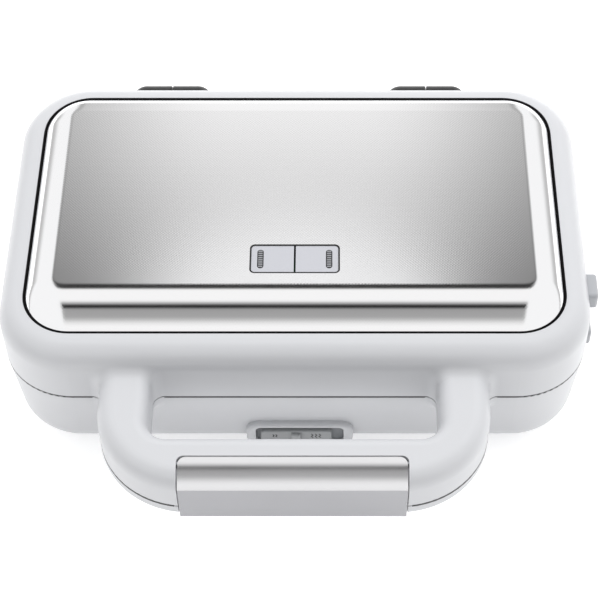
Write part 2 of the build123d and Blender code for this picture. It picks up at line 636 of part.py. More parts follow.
def handle_cover_shape(fit, low):
    lip = HANDLE_WALL - HANDLE_COVER_LIP + fit
    shape = extrude(Pos(0, 0, low) * handle_outline(lip), amount=LID_BOTTOM + HANDLE_COVER - low)
    return shape & block(-HANDLE_WIDTH, HANDLE_WIDTH, HANDLE_FRONT, BODY_FRONT - 3 - fit, 0, RIM_HEIGHT)


def handle_cover():
    cover = handle_cover_shape(HANDLE_COVER_FIT, LID_BOTTOM)
    for x, y in HANDLE_SCREWS:
        cover -= rod_z(SCREW_RADIUS + SCREW_FIT, x, y, LID_BOTTOM - 1, LID_BOTTOM + HANDLE_COVER + 1)
        cover -= rod_z(SCREW_HEAD_RADIUS + SCREW_FIT, x, y, LID_BOTTOM - 1, LID_BOTTOM + SCREW_HEAD)
    return cover


HANDLE_SCREWS = [(-(HANDLE_WIDTH - HANDLE_ARM) / 2, BODY_FRONT - HANDLE_SCREW_FROM_WALL),
                 ((HANDLE_WIDTH - HANDLE_ARM) / 2, BODY_FRONT - HANDLE_SCREW_FROM_WALL),
                 (-CLIP_WIDTH / 4, HANDLE_INNER - HANDLE_WALL - BOSS_RADIUS - 1),
                 (CLIP_WIDTH / 4, HANDLE_INNER - HANDLE_WALL - BOSS_RADIUS - 1)]


def screw(x, y, z, up):
    """Pan-head screw, its head's flat side at z, pointing up (1) or down (-1)."""
    head = rod_z(SCREW_HEAD_RADIUS, x, y, min(z, z - up * SCREW_HEAD), max(z, z - up * SCREW_HEAD))
    slot = block(x - 2, x + 2, y - 0.4, y + 0.4, min(z - up * SCREW_HEAD, z - up * (SCREW_HEAD - 0.5)),
                 max(z - up * SCREW_HEAD, z - up * (SCREW_HEAD - 0.5)))
    reach = z + up * (SCREW_LENGTH - 1)
    return head - slot + rod_z(SCREW_RADIUS, x, y, min(z, reach), max(z, reach))


# Lid panel with its gasket

def roll_run(reach, drop):
    """How far out from the field's edge the rolled arc lies at one drop below the field."""
    radius = (reach ** 2 + PANEL_RISE ** 2) / (2 * PANEL_RISE)
    return math.sqrt(radius ** 2 - (radius - drop) ** 2)


def panel_outline(step, inset):
    """Outline of the rolled edge at one step from the rim (0) to the field (ROLL_STEPS)."""
    drop = PANEL_RISE * (1 - step / ROLL_STEPS) ** 2
    in_side = FIELD_INSET_SIDE - roll_run(FIELD_INSET_SIDE, drop) + inset
    in_front = FIELD_INSET_FRONT - roll_run(FIELD_INSET_FRONT, drop) + inset
    share = roll_run(FIELD_INSET_SIDE, drop) / FIELD_INSET_SIDE
    corner = FIELD_CORNER + (PANEL_CORNER - FIELD_CORNER) * share - inset
    height = FIELD_HEIGHT - inset - drop * (PANEL_RISE - inset) / PANEL_RISE
    middle = PANEL_Y + (in_front - in_side) / 2
    return Pos(0, middle, height) * RectangleRounded(PANEL_WIDTH - 2 * in_side,
                                                     PANEL_DEPTH - in_side - in_front, corner)


def panel_dome(inset, low):
    rim = PANEL_CORNER - inset
    shape = slab(PANEL_WIDTH - 2 * inset, PANEL_DEPTH - 2 * inset, rim, low, RIM_HEIGHT, 0, PANEL_Y)
    for step in range(ROLL_STEPS):
        shape += loft([panel_outline(step, inset), panel_outline(step + 1, inset)], ruled=True)
    return shape


def tab(x, y, grow, drop):
    side = 1 if y > 0 else -1
    outer = PANEL_Y + side * (PANEL_DEPTH / 2 + grow)
    inner = PANEL_Y + side * (PANEL_DEPTH / 2 - PANEL_SHEET - grow)
    half = TAB_WIDTH / 2 + grow
    return block(x - half, x + half, min(outer, inner), max(outer, inner), DECK_TOP - drop, DECK_TOP + 0.5)


def lid_panel():
    panel = panel_dome(0, DECK_TOP) - panel_dome(PANEL_SHEET, DECK_TOP - 1)
    for x, y in TABS:
        panel += tab(x, y, 0, TAB_DROP)
    window = slab(INDICATOR_WIDTH, INDICATOR_DEPTH, INDICATOR_CORNER, FIELD_UNDERSIDE - 2, FIELD_HEIGHT + 1,
                  0, INDICATOR_Y)
    return panel - window


def panel_gasket():
    fit = 0.05
    outer = 2 * (GROOVE - fit)
    ring = slab(PANEL_WIDTH + outer, PANEL_DEPTH + outer, PANEL_CORNER + GROOVE - fit, DECK_TOP,
                RIM_HEIGHT + GASKET_PROUD, 0, PANEL_Y)
    return ring - slab(PANEL_WIDTH + 2 * fit, PANEL_DEPTH + 2 * fit, PANEL_CORNER + fit, DECK_TOP - 1,
                       RIM_HEIGHT + 2, 0, PANEL_Y)


TABS = four(TAB_X, 1)


# Indicator

def indicator_frame():
    """Box standing on the deck, its rim flush in the panel's window."""
    fit = 2 * INDICATOR_FIT
    rim = slab(INDICATOR_WIDTH - fit, INDICATOR_DEPTH - fit, INDICATOR_CORNER - INDICATOR_FIT,
               FIELD_UNDERSIDE - 1, FIELD_HEIGHT, 0, INDICATOR_Y)
    width = INDICATOR_WIDTH + 2 * INDICATOR_SKIRT
    depth = INDICATOR_DEPTH + 2 * INDICATOR_SKIRT
    box = slab(width, depth, INDICATOR_CORNER + INDICATOR_SKIRT, DECK_TOP, FIELD_UNDERSIDE, 0, INDICATOR_Y)
    rims = 2 * INDICATOR_RIM + fit
    shape = rim + box
    shape -= slab(INDICATOR_WIDTH - rims, INDICATOR_DEPTH - rims, INDICATOR_CORNER - INDICATOR_RIM,
                  TILE_BOTTOM, FIELD_HEIGHT + 1, 0, INDICATOR_Y)
    ledge = rims + 2
    shape -= slab(INDICATOR_WIDTH - ledge, INDICATOR_DEPTH - ledge, INDICATOR_CORNER - INDICATOR_RIM,
                  BOARD_TOP - BOARD_THICK, TILE_BOTTOM + 1, 0, INDICATOR_Y)
    seat = ledge + 3
    return shape - slab(INDICATOR_WIDTH - seat, INDICATOR_DEPTH - seat, INDICATOR_CORNER - INDICATOR_RIM,
                        DECK_TOP - 1, BOARD_TOP, 0, INDICATOR_Y)


def indicator_tile(side):
    fit = INDICATOR_RIM + INDICATOR_FIT + 0.05
    half = INDICATOR_WIDTH / 2 - fit
    inner = TILE_GAP / 2
    depth = INDICATOR_DEPTH / 2 - fit
    tile = block(min(side * inner, side * half), max(side * inner, side * half),
                 INDICATOR_Y - depth, INDICATOR_Y + depth, TILE_BOTTOM, TILE_TOP)
    outer = tile.edges().filter_by(Axis.Z).sort_by(lambda e: side * e.center().X)[-2:]
    tile = fillet(outer, INDICATOR_CORNER - INDICATOR_RIM)
    return tile - slab(LENS_WIDTH + 0.1, LENS_LENGTH + 0.1, LENS_WIDTH / 2, TILE_BOTTOM - 1, TILE_TOP + 1,
                       side * LENS_X, INDICATOR_Y)


def indicator_lens(side):
    lens = slab(LENS_WIDTH, LENS_LENGTH, LENS_WIDTH / 2 - 0.05, TILE_BOTTOM - 1, TILE_TOP, side * LENS_X,
                INDICATOR_Y)
    foot = slab(LENS_WIDTH + 1.6, LENS_LENGTH + 1.6, LENS_WIDTH / 2, TILE_BOTTOM - 1.8, TILE_BOTTOM,
                side * LENS_X, INDICATOR_Y)
    return lens + foot


def indicator_board():
    rims = 2 * (INDICATOR_RIM + INDICATOR_FIT) + 2.3
    top = BOARD_TOP
    width = INDICATOR_WIDTH - rims
    depth = INDICATOR_DEPTH - rims
    board = slab(width, depth, INDICATOR_CORNER - INDICATOR_RIM - 0.15, top - BOARD_THICK, top, 0,
                 INDICATOR_Y)
    for side in (-1, 1):
        x = side * LENS_X
        board += rod_z(LED_RADIUS, x, INDICATOR_Y, top, top + 2.2)
        board += Pos(x, INDICATOR_Y, top + 2.2) * Sphere(LED_RADIUS)
        board += block(x - side * 6 - 1.6, x - side * 6 + 1.6, INDICATOR_Y - 0.8, INDICATOR_Y + 0.8, top,
                       top + 1)
    return board


# Frames, reflectors, plates and elements; the lid has the same set mirrored

def hook_slots(grow):
    """Left-hand slots in the frame, or with no growth the tongues on the plate."""
    return [block(-PLATE_SIDE - HOOK_REACH - grow, -PLATE_SIDE + 1, y - HOOK_WIDTH / 2 - grow,
                  y + HOOK_WIDTH / 2 + grow, LEDGE_TOP - grow, LEDGE_TOP + HOOK_THICK + grow)
            for y in (-HOOK_Y, HOOK_Y)]


def plate_frame():
    shrink = 2 * (WALL + (BASE_TOP - FRAME_BOTTOM) * BASE_SHRINK + FRAME_FIT)
    sheet = slab(BODY_WIDTH - shrink, BODY_DEPTH - shrink, BODY_CORNER - shrink / 2, FRAME_BOTTOM, FRAME_TOP)
    skirt = 2 * FRAME_SKIRT
    collar = slab(OPENING_WIDTH + skirt, OPENING_DEPTH + skirt, OPENING_CORNER + FRAME_SKIRT, REFLECTOR_TOP,
                  FRAME_BOTTOM)
    frame = sheet + collar
    frame -= slab(OPENING_WIDTH, OPENING_DEPTH, OPENING_CORNER, LEDGE_TOP, FRAME_TOP + 1)
    ledge = 2 * LEDGE_WIDTH
    frame -= slab(PLATE_WIDTH - ledge, PLATE_DEPTH - ledge, PLATE_CORNER - LEDGE_WIDTH, REFLECTOR_TOP - 1,
                  LEDGE_TOP + 1)
    for slot in hook_slots(0.3):
        frame -= slot
    for x, y in four(BOSS_X, BOSS_Y):
        frame -= rod_z(SCREW_RADIUS + SCREW_FIT, x, y, FRAME_BOTTOM - 1, FRAME_TOP + 1)
        frame -= rod_z(SCREW_HEAD_RADIUS + SCREW_FIT, x, y, FRAME_TOP - SCREW_HEAD, FRAME_TOP + 1)
    return frame


def reflector():
    top = REFLECTOR_TOP
    sheet = REFLECTOR_SHEET
    tray = slab(REFLECTOR_WIDTH, REFLECTOR_LENGTH, REFLECTOR_CORNER, REFLECTOR_FLOOR, top)
    lip = 2 * REFLECTOR_LIP
    tray += slab(REFLECTOR_WIDTH + lip, REFLECTOR_LENGTH + lip, REFLECTOR_CORNER + REFLECTOR_LIP,
                 top - sheet, top)
    tray -= slab(REFLECTOR_WIDTH - 2 * sheet, REFLECTOR_LENGTH - 2 * sheet, REFLECTOR_CORNER - sheet,
                 REFLECTOR_FLOOR + sheet, top + 1)
    half = SLIDE_WIDTH / 2 + 0.4
    tray -= block(PLATE_SIDE - 10, REFLECTOR_WIDTH / 2 + 1, BUTTON_Y - half, BUTTON_Y + half,
                  SLIDE_Z - 0.3, SLIDE_Z + SLIDE_THICK + 0.3)
    for x in (-ELEMENT_ENDS / 2, ELEMENT_ENDS / 2):
        tray -= rod_y(ELEMENT_RADIUS + 0.3, x, REFLECTOR_LENGTH / 2 - 5, REFLECTOR_LENGTH / 2 + 1, ELEMENT_Z)
    return tray


def pocket_outlines():
    """The two triangles of each square, in plan."""
    size_x = PLATE_SIDE - PLATE_BORDER - PLATE_BORDER / 2
    size_y = PLATE_DEPTH / 2 - PLATE_BORDER
    gap = POCKET_RIDGE * math.sqrt(0.5)
    outlines = []
    for side in (-1, 1):
        x0 = side * PLATE_BORDER / 2
        x1 = side * (PLATE_SIDE - PLATE_BORDER)
        front = [(x0, -size_y), (x1 - side * gap, -size_y), (x0, size_y - gap)]
        back = [(x1, size_y), (x0 + side * gap, size_y), (x1, -size_y + gap)]
        outlines += [front, back]
    return outlines


def cooking_plate():
    plate = slab(PLATE_WIDTH, PLATE_DEPTH, PLATE_CORNER, LEDGE_TOP, PLATE_TOP)
    plate = chamfer(edges_at(plate, PLATE_TOP), 0.6)
    inset = 2 * (PLATE_BORDER - PLATE_WALL)
    body = slab(PLATE_WIDTH - inset, PLATE_DEPTH - inset, POCKET_CORNER, PLATE_BOTTOM, LEDGE_TOP)
    plate += body
    for corners in pocket_outlines():
        mouth = make_face(Polyline(*corners, close=True))
        mouth = fillet(mouth.vertices(), POCKET_CORNER)
        floor = offset(mouth, amount=-POCKET_SLOPE_INSET)
        pocket = loft([Pos(0, 0, PLATE_TOP - POCKET_DEPTH) * floor, Pos(0, 0, PLATE_TOP) * mouth], ruled=True)
        plate -= pocket
    half = SLIDE_WIDTH / 2 + 0.6
    notch_x = SLIDE_INNER - BUTTON_TRAVEL - 0.4
    plate -= block(notch_x, PLATE_SIDE - PLATE_BORDER + PLATE_WALL + 1, BUTTON_Y - half, BUTTON_Y + half,
                   PLATE_BOTTOM - 1, SLIDE_Z + SLIDE_THICK + 0.4)
    lug = LUG_WIDTH / 2
    low = TONGUE_TOP - TONGUE_THICK
    plate += block(LUG_X - LUG_THICK, LUG_X, BUTTON_Y - lug, BUTTON_Y + lug, low, LEDGE_TOP + 0.5)
    plate += block(LUG_X - LUG_THICK - TONGUE_REACH, LUG_X, BUTTON_Y - lug, BUTTON_Y + lug, low, TONGUE_TOP)
    for tongue in hook_slots(0):
        plate += tongue & slab(OPENING_WIDTH + 2 * HOOK_REACH, PLATE_DEPTH, 1, LEDGE_TOP,
                               LEDGE_TOP + HOOK_THICK)
    return plate


def heating_element():
    """Bent tube with a straight end and a pin at each side of the back."""
    x = ELEMENT_WIDTH / 2
    y = ELEMENT_LENGTH / 2
    end = ELEMENT_ENDS / 2
    z = ELEMENT_Z
    points = [(-end, ELEMENT_BACK, z), (-end, y, z), (-x, y, z), (-x, -y, z),
              (x, -y, z), (x, y, z), (end, y, z), (end, ELEMENT_BACK, z)]
    path = FilletPolyline(*points, radius=ELEMENT_BEND)
    start = Plane(origin=points[0], z_dir=(0, -1, 0))
    tube = sweep(start * Circle(ELEMENT_RADIUS), path=path)
    for side in (-end, end):
        tube += rod_y(ELEMENT_PIN, side, ELEMENT_BACK - 1, ELEMENT_BACK + ELEMENT_PIN_LENGTH, z)
    return tube


def element_clamps():
    x = ELEMENT_WIDTH / 2
    clamps = []
    for cx, cy in ((-x, 0), (x, 0), (0, -ELEMENT_LENGTH / 2)):
        along_y = cy == 0
        sx = CLAMP_LENGTH if along_y else CLAMP_WIDTH
        sy = CLAMP_WIDTH if along_y else CLAMP_LENGTH
        clamp = block(cx - sx / 2, cx + sx / 2, cy - sy / 2, cy + sy / 2, REFLECTOR_FLOOR + REFLECTOR_SHEET,
                      ELEMENT_Z)
        room = ELEMENT_RADIUS + CLAMP_CLEARANCE
        if along_y:
            clamp -= rod_y(room, cx, cy - sy, cy + sy, ELEMENT_Z)
        else:
            clamp -= rod_x(room, cx - sx, cx + sx, cy, ELEMENT_Z)
        clamps.append(clamp)
    return clamps


# Release button, slide and spring

def button_seat(z, lid):
    """How far out the button's flange may reach inside the wall."""
    reach = BUTTON_HEIGHT / 2 + BUTTON_FLANGE_RIM
    wall = lid_side(z + reach) if lid else base_side(z - reach, WALL)
    return wall - BUTTON_CLEARANCE


def button_hole(z):
    grow = 2 * BUTTON_CLEARANCE
    return side_slab(BUTTON_LENGTH + grow, BUTTON_HEIGHT + grow, BUTTON_CORNER + BUTTON_CLEARANCE, BUTTON_Y,
                     z, BODY_SIDE - 12, BODY_SIDE + 2)


def release_button(z, lid):
    face = BODY_SIDE + BUTTON_PROUD
    cap = side_slab(BUTTON_LENGTH, BUTTON_HEIGHT, BUTTON_CORNER, BUTTON_Y, z, WEB_X + SLIDE_WEB, face)
    cap = fillet(cap.edges().filter_by_position(Axis.X, face - 0.01, face + 0.01), 1.6)
    seat = button_seat(z, lid)
    rim = 2 * BUTTON_FLANGE_RIM
    return cap + side_slab(BUTTON_LENGTH + rim, BUTTON_HEIGHT + rim, BUTTON_CORNER, BUTTON_Y, z,
                           seat - BUTTON_FLANGE, seat)


def release_slide(z, bar):
    """Bar with a window round the plate's lug, a web behind the button and a stem for the spring."""
    half = SLIDE_WIDTH / 2
    plate = block(SLIDE_INNER, WEB_X + SLIDE_WEB, BUTTON_Y - half, BUTTON_Y + half, bar, bar + SLIDE_THICK)
    window = LUG_WIDTH / 2 + 0.6
    plate -= block(SLIDE_INNER + SLIDE_STRIP, LUG_X + BUTTON_TRAVEL + 0.4, BUTTON_Y - window,
                   BUTTON_Y + window, bar - 1, bar + SLIDE_THICK + 1)
    low = min(bar, z - BUTTON_HEIGHT / 2)
    high = max(bar + SLIDE_THICK, z + BUTTON_HEIGHT / 2)
    web = SLIDE_WEB_WIDTH / 2
    plate += block(WEB_X, WEB_X + SLIDE_WEB, BUTTON_Y - web, BUTTON_Y + web, low, high)
    return plate + rod_x(1.4, WEB_X - 3, WEB_X, BUTTON_Y, spring_z(z))


def spring_z(z):
    return z if z > SEAM_HEIGHT else SLIDE_Z - SPRING_RADIUS - SPRING_WIRE - 0.4


def spring_post(low, high):
    half = SLIDE_WEB_WIDTH / 2 - 1
    return block(POST_X, POST_X + SPRING_POST, BUTTON_Y - half, BUTTON_Y + half, low, high)


def coil(radius, wire, length, turns, start, direction):
    """Open coil spring of round wire."""
    pitch = (length - wire) / turns
    path = Helix(pitch=pitch, height=length - wire, radius=radius)
    section = Plane(origin=path @ 0, z_dir=path % 0) * Circle(wire / 2)
    spring = sweep(section, path=path, is_frenet=True)
    return Plane(origin=start, z_dir=direction) * (Pos(0, 0, wire / 2) * spring)


def release_spring(z):
    start = (POST_X + SPRING_POST + 0.1, BUTTON_Y, spring_z(z))
    return coil(SPRING_RADIUS, SPRING_WIRE, SPRING_SPACE - 0.2, SPRING_TURNS, start, (1, 0, 0))


# Hinges: the lid carries the outer knuckles and the base the inner ones

def knuckle_span(side, of_lid):
    """Left and right end of one knuckle."""
    outer = HINGE_X + HINGE_LENGTH / 2
    inner = HINGE_X - HINGE_LENGTH / 2
    middle = HINGE_X + (HINGE_SPLIT / 2 if of_lid else -HINGE_SPLIT / 2)
    ends = (middle, outer) if of_lid else (inner, middle)
    return tuple(sorted(side * e for e in ends))


LID_WEB = (LID_BOTTOM + 0.4, HINGE_HEIGHT + HINGE_RADIUS - 1.5)
BASE_WEB = (HINGE_HEIGHT - HINGE_RADIUS - 3.0, BASE_TOP - 0.4)
LID_KNUCKLE_SCREW_Z = (LID_WEB[1] + LID_BOTTOM + FRAME_SHEET) / 2 + 1.2
BASE_KNUCKLE_SCREW_Z = FRAME_BOTTOM - SCREW_HEAD_RADIUS - 0.4
LID_KNUCKLE_SCREWS = [side * (HINGE_X + dx) for side in (-1, 1) for dx in (6, 16)]
BASE_KNUCKLE_SCREWS = [side * (HINGE_X - dx) for side in (-1, 1) for dx in (6, 16)]
HINGE_SCREW_LENGTH = 8.0


def knuckle(side, of_lid):
    x0, x1 = knuckle_span(side, of_lid)
    barrel = rod_x(HINGE_RADIUS, x0, x1, HINGE_Y, HINGE_HEIGHT)
    rims = barrel.edges().filter_by(GeomType.CIRCLE).sort_by(lambda rim: abs(rim.center().X - side * HINGE_X))
    barrel = fillet(rims[0], HINGE_SPLIT_ROUND)
    free = barrel.edges().filter_by(GeomType.CIRCLE)
    free = free.sort_by(lambda rim: abs(rim.center().X - side * HINGE_X))[-1]
    barrel = fillet(free, HINGE_OUTER_ROUND)
    low, high = LID_WEB if of_lid else BASE_WEB
    web = block(x0 + HINGE_WEB_MARGIN, x1 - HINGE_WEB_MARGIN, BODY_BACK - WALL, HINGE_Y - 3, low, high)
    if of_lid:
        web -= block(x0, x1, BODY_BACK - WALL - 1, BODY_BACK, low - 1, high + 1)
    else:
        web -= base_shape(0, FOOT_HEIGHT)
    piece = barrel + web
    piece -= rod_x(HINGE_PIN_RADIUS + PIN_CLEARANCE, *hinge_pin_span(side, 0.3), HINGE_Y, HINGE_HEIGHT)
    z = LID_KNUCKLE_SCREW_Z if of_lid else BASE_KNUCKLE_SCREW_Z
    for x in LID_KNUCKLE_SCREWS if of_lid else BASE_KNUCKLE_SCREWS:
        piece -= rod_y(SCREW_RADIUS + SCREW_FIT, x, BODY_BACK - 5, hinge_screw_tip(of_lid) + 0.5, z)
    return piece


def hinge_pin_span(side, spare):
    middle = side * HINGE_X
    return middle - HINGE_PIN_SEAT - spare, middle + HINGE_PIN_SEAT + spare


def hinge_screw_seat(of_lid):
    return LID_INNER_BACK if of_lid else base_front(BASE_KNUCKLE_SCREW_Z, WALL)


def hinge_screw_tip(of_lid):
    return hinge_screw_seat(of_lid) + HINGE_SCREW_LENGTH


def hinge_screws(of_lid):
    z = LID_KNUCKLE_SCREW_Z if of_lid else BASE_KNUCKLE_SCREW_Z
    seat = hinge_screw_seat(of_lid) - (0 if of_lid else SCREW_HEAD_RADIUS * BASE_SHRINK)
    screws = []
    for x in LID_KNUCKLE_SCREWS if of_lid else BASE_KNUCKLE_SCREWS:
        screws.append(rod_y(SCREW_HEAD_RADIUS, x, seat - SCREW_HEAD, seat, z)
                      + rod_y(SCREW_RADIUS, x, seat - 0.5, hinge_screw_tip(of_lid), z))
    return screws


# Latch

def latch_clip():
    outer, fold = clip_curve(0)
    inner, inner_fold = clip_curve(CLIP_SHEET)
    edges = outer + inner
    edges.append(Line(fold, (CLIP_FRONT, CLIP_END)))
    edges.append(Line((CLIP_FRONT, CLIP_END), (CLIP_INNER, CLIP_END)))
    edges.append(Line((CLIP_INNER, CLIP_END), inner_fold))
    edges.append(Line((LATCH_Y, CLIP_TOP), (LATCH_Y, CLIP_TOP - CLIP_SHEET)))
    half = CLIP_WIDTH / 2
    clip = profile_x(edges, CLIP_WIDTH) + rod_x(CLIP_KNUCKLE_RADIUS, -half, half, LATCH_Y, LATCH_Z)
    plan = Pos(0, CLIP_FRONT + CLIP_DEPTH / 2 - 10) * Rectangle(CLIP_WIDTH, CLIP_DEPTH + 20)
    plan = fillet(plan.vertices().group_by(Axis.Y)[-1], CLIP_CORNER)
    clip = clip & extrude(plan, amount=RIM_HEIGHT)
    tall = 2 * (CLIP_TOP - CLIP_END)
    clip = clip & front_slab(CLIP_WIDTH, tall, CLIP_CORNER / 2, 0, CLIP_END + tall / 2, CLIP_FRONT - 1,
                             LATCH_Y + 5)
    barb = block(-BARB_WIDTH / 2, BARB_WIDTH / 2, CLIP_INNER - 0.5, BARB_TIP, BARB_Z, BARB_Z + BARB_HEIGHT)
    low_back = barb.edges().filter_by(Axis.X).filter_by_position(Axis.Z, BARB_Z - 0.1, BARB_Z + 0.1)
    clip += chamfer(low_back.sort_by(Axis.Y)[-1:], 1.0)
    room = LATCH_SPRING_LENGTH / 2 + 0.4
    reach = CLIP_KNUCKLE_RADIUS + 0.1
    clip -= block(-room, room, LATCH_Y - reach, LATCH_Y + reach, LATCH_Z - reach, CLIP_TOP - 0.6)
    return clip - rod_x(LATCH_PIN_RADIUS + PIN_CLEARANCE, -half - 1, half + 1, LATCH_Y, LATCH_Z)


def latch_pin():
    half = CLIP_WIDTH / 2 + CLIP_GAP + LATCH_PIN_SEAT - 0.2
    return rod_x(LATCH_PIN_RADIUS, -half, half, LATCH_Y, LATCH_Z)


def latch_spring():
    mean = LATCH_PIN_RADIUS + 0.1 + LATCH_SPRING_WIRE / 2
    start = (-LATCH_SPRING_LENGTH / 2, LATCH_Y, LATCH_Z)
    return coil(mean, LATCH_SPRING_WIRE, LATCH_SPRING_LENGTH, LATCH_SPRING_TURNS, start, (1, 0, 0))


def keeper(grow):
    """Leaf spring in the lower handle whose nose stands over the clip's barb."""
    half = BARB_WIDTH / 2 - 4 + grow
    top = BASE_TOP - 0.6
    nose = BARB_Z + BARB_HEIGHT + KEEPER_CLEARANCE
    leaf = block(-half, half, CLIP_INNER + CLIP_CLEARANCE + 0.2, BARB_TIP + KEEPER_LENGTH + grow,
                 top - KEEPER_SHEET - grow, top + grow)
    return leaf + block(-half, half, CLIP_INNER + CLIP_CLEARANCE + 0.2, BARB_TIP - 0.1, nose, top)


def keeper_slot():
    return keeper(0.05) & block(-BARB_WIDTH, BARB_WIDTH, BARB_TIP, 0, 0, BASE_TOP)


# Heat selector

def selector_bezel():
    """Tray in the boss with a slot for the stem and a flange behind the wall."""
    fit = 2 * BEZEL_FIT
    tray = front_slab(BEZEL_WIDTH - fit, BEZEL_HEIGHT - fit, BEZEL_CORNER, SELECTOR_X, SELECTOR_HEIGHT,
                      BEZEL_FACE, SELECTOR_BACK)
    flange = front_slab(BEZEL_WIDTH + 2 * BEZEL_FLANGE, BEZEL_HEIGHT, BEZEL_CORNER,
                        SELECTOR_X, SELECTOR_HEIGHT, SELECTOR_BACK, SWITCH_FRONT)
    hollow = front_slab(BEZEL_WIDTH - 6, BEZEL_HEIGHT - 6, BEZEL_CORNER - 1, SELECTOR_X, SELECTOR_HEIGHT,
                        BEZEL_FACE + BEZEL_FLOOR, SWITCH_FRONT + 1)
    slot_left = KNOB_X - KNOB_STEM_WIDTH / 2 - SELECTOR_CLEARANCE
    slot_right = KNOB_X + KNOB_STEM_WIDTH / 2 + SELECTOR_TRAVEL + SELECTOR_CLEARANCE
    tall = KNOB_STEM_HEIGHT / 2 + SELECTOR_CLEARANCE
    slot = block(slot_left, slot_right, BEZEL_FACE - 1, BEZEL_FACE + BEZEL_FLOOR + 1,
                 SELECTOR_HEIGHT - tall, SELECTOR_HEIGHT + tall)
    return tray + flange - hollow - slot


def selector_knob():
    back = BEZEL_FACE - SELECTOR_CLEARANCE
    front = SELECTOR_FRONT - KNOB_PROUD
    knob = front_slab(KNOB_WIDTH, KNOB_HEIGHT, BEZEL_CORNER - 1, KNOB_X, SELECTOR_HEIGHT, front, back)
    knob = fillet(knob.edges().filter_by_position(Axis.Y, front - 0.01, front + 0.01), 0.8)
    rib = front_slab(KNOB_RIB_WIDTH, KNOB_HEIGHT - 1.6, 1.0, KNOB_X, SELECTOR_HEIGHT,
                     front - KNOB_RIB_PROUD, front + 0.5)
    tip = front - KNOB_RIB_PROUD
    rib = fillet(rib.edges().filter_by_position(Axis.Y, tip - 0.01, tip + 0.01), 0.8)
    stem = block(KNOB_X - KNOB_STEM_WIDTH / 2, KNOB_X + KNOB_STEM_WIDTH / 2, back - 0.5,
                 BEZEL_FACE + BEZEL_FLOOR + SELECTOR_CLEARANCE,
                 SELECTOR_HEIGHT - KNOB_STEM_HEIGHT / 2, SELECTOR_HEIGHT + KNOB_STEM_HEIGHT / 2)
    return knob + rib + stem


def selector_carriage():
    front = BEZEL_FACE + BEZEL_FLOOR + SELECTOR_CLEARANCE
    back = SWITCH_FRONT - SELECTOR_CLEARANCE
    carriage = front_slab(KNOB_STEM_WIDTH + 6, BEZEL_HEIGHT - 8, 1.0, KNOB_X, SELECTOR_HEIGHT, front, back)
    return carriage + rod_y(1.4, KNOB_X, back - 0.5, SWITCH_FRONT + SWITCH_EAR + 3, SELECTOR_HEIGHT)


def selector_switch():
    ear = front_slab(BEZEL_WIDTH + 2, SWITCH_HEIGHT - 3, 1.5, SELECTOR_X, SELECTOR_HEIGHT, SWITCH_FRONT,
                     SWITCH_FRONT + SWITCH_EAR)
    body = front_slab(SWITCH_WIDTH, SWITCH_HEIGHT, 1.0, SELECTOR_X, SELECTOR_HEIGHT,
                      SWITCH_FRONT + SWITCH_EAR, SWITCH_FRONT + SWITCH_DEPTH)
    room = 1.4 + SELECTOR_CLEARANCE
    slot = block(KNOB_X - room, KNOB_X + room + SELECTOR_TRAVEL, SWITCH_FRONT - 1,
                 SWITCH_FRONT + SWITCH_EAR + 3.5, SELECTOR_HEIGHT - room, SELECTOR_HEIGHT + room)
    return ear + body - slot


# Bottom cover, feet, gland

COVER_SCREWS = four((COVER_WIDTH - COVER_LEDGE) / 2, (COVER_DEPTH - COVER_LEDGE) / 2)
GLAND_Y = BODY_BACK + 1.0


def base_cover():
    fit = 2 * COVER_FIT
    cover = slab(COVER_WIDTH - fit, COVER_DEPTH - fit, COVER_CORNER - COVER_FIT, FOOT_HEIGHT,
                 FOOT_HEIGHT + COVER_SHEET)
    first = -VENT_PITCH * (VENT_COUNT - 1) / 2
    for i in range(VENT_COUNT):
        cover -= slab(VENT_WIDTH, VENT_LENGTH, VENT_WIDTH / 2 - 0.05, 0, FLOOR_TOP, first + i * VENT_PITCH, 0)
    for x, y in COVER_SCREWS:
        cover -= rod_z(SCREW_RADIUS + SCREW_FIT, x, y, 0, FLOOR_TOP)
    return cover


def foot(x, y):
    pad = rod_z(FOOT_RADIUS, x, y, 0, FOOT_HEIGHT)
    pad = chamfer(edges_at(pad, 0), 0.8)
    return pad + rod_z(FOOT_PLUG, x, y, FOOT_HEIGHT - 1, FLOOR_TOP + 1)


def cord_gland():
    face = GLAND_Y - GLAND_FLANGE
    back = face - GLAND_PAD
    gland = rod_y(GLAND_FLANGE_RADIUS, GLAND_X, face, GLAND_Y, GLAND_HEIGHT)
    gland = fillet(gland.edges().filter_by_position(Axis.Y, GLAND_Y - 0.01, GLAND_Y + 0.01), 1.0)
    gland += rod_y(GLAND_RADIUS, GLAND_X, back - 2, face + 0.5, GLAND_HEIGHT)
    gland += rod_y(GLAND_RADIUS + 1.2, GLAND_X, back - 2, back, GLAND_HEIGHT)
    return gland - rod_y(GLAND_BORE, GLAND_X, back - 3, GLAND_Y + 1, GLAND_HEIGHT)


# Electrical pieces under the lower reflector

def thermostat():
    top = REFLECTOR_FLOOR
    body = rod_z(THERMOSTAT_RADIUS, THERMOSTAT_X, 0, WIRE_HEIGHT - THERMOSTAT_BELOW_BLADES, top)
    for dx, dy in ((-1, 0), (1, 0), (0, -1)):
        cx = THERMOSTAT_X + dx * (THERMOSTAT_RADIUS + BLADE_LENGTH / 2 - 0.5)
        cy = dy * (THERMOSTAT_RADIUS + BLADE_LENGTH / 2 - 0.5)
        sx = BLADE_LENGTH + 1 if dx else BLADE_WIDTH
        sy = BLADE_LENGTH + 1 if dy else BLADE_WIDTH
        body += Pos(cx, cy, WIRE_HEIGHT) * Box(sx, sy, 0.8)
    return body


BLADE_TIP = THERMOSTAT_RADIUS + BLADE_LENGTH


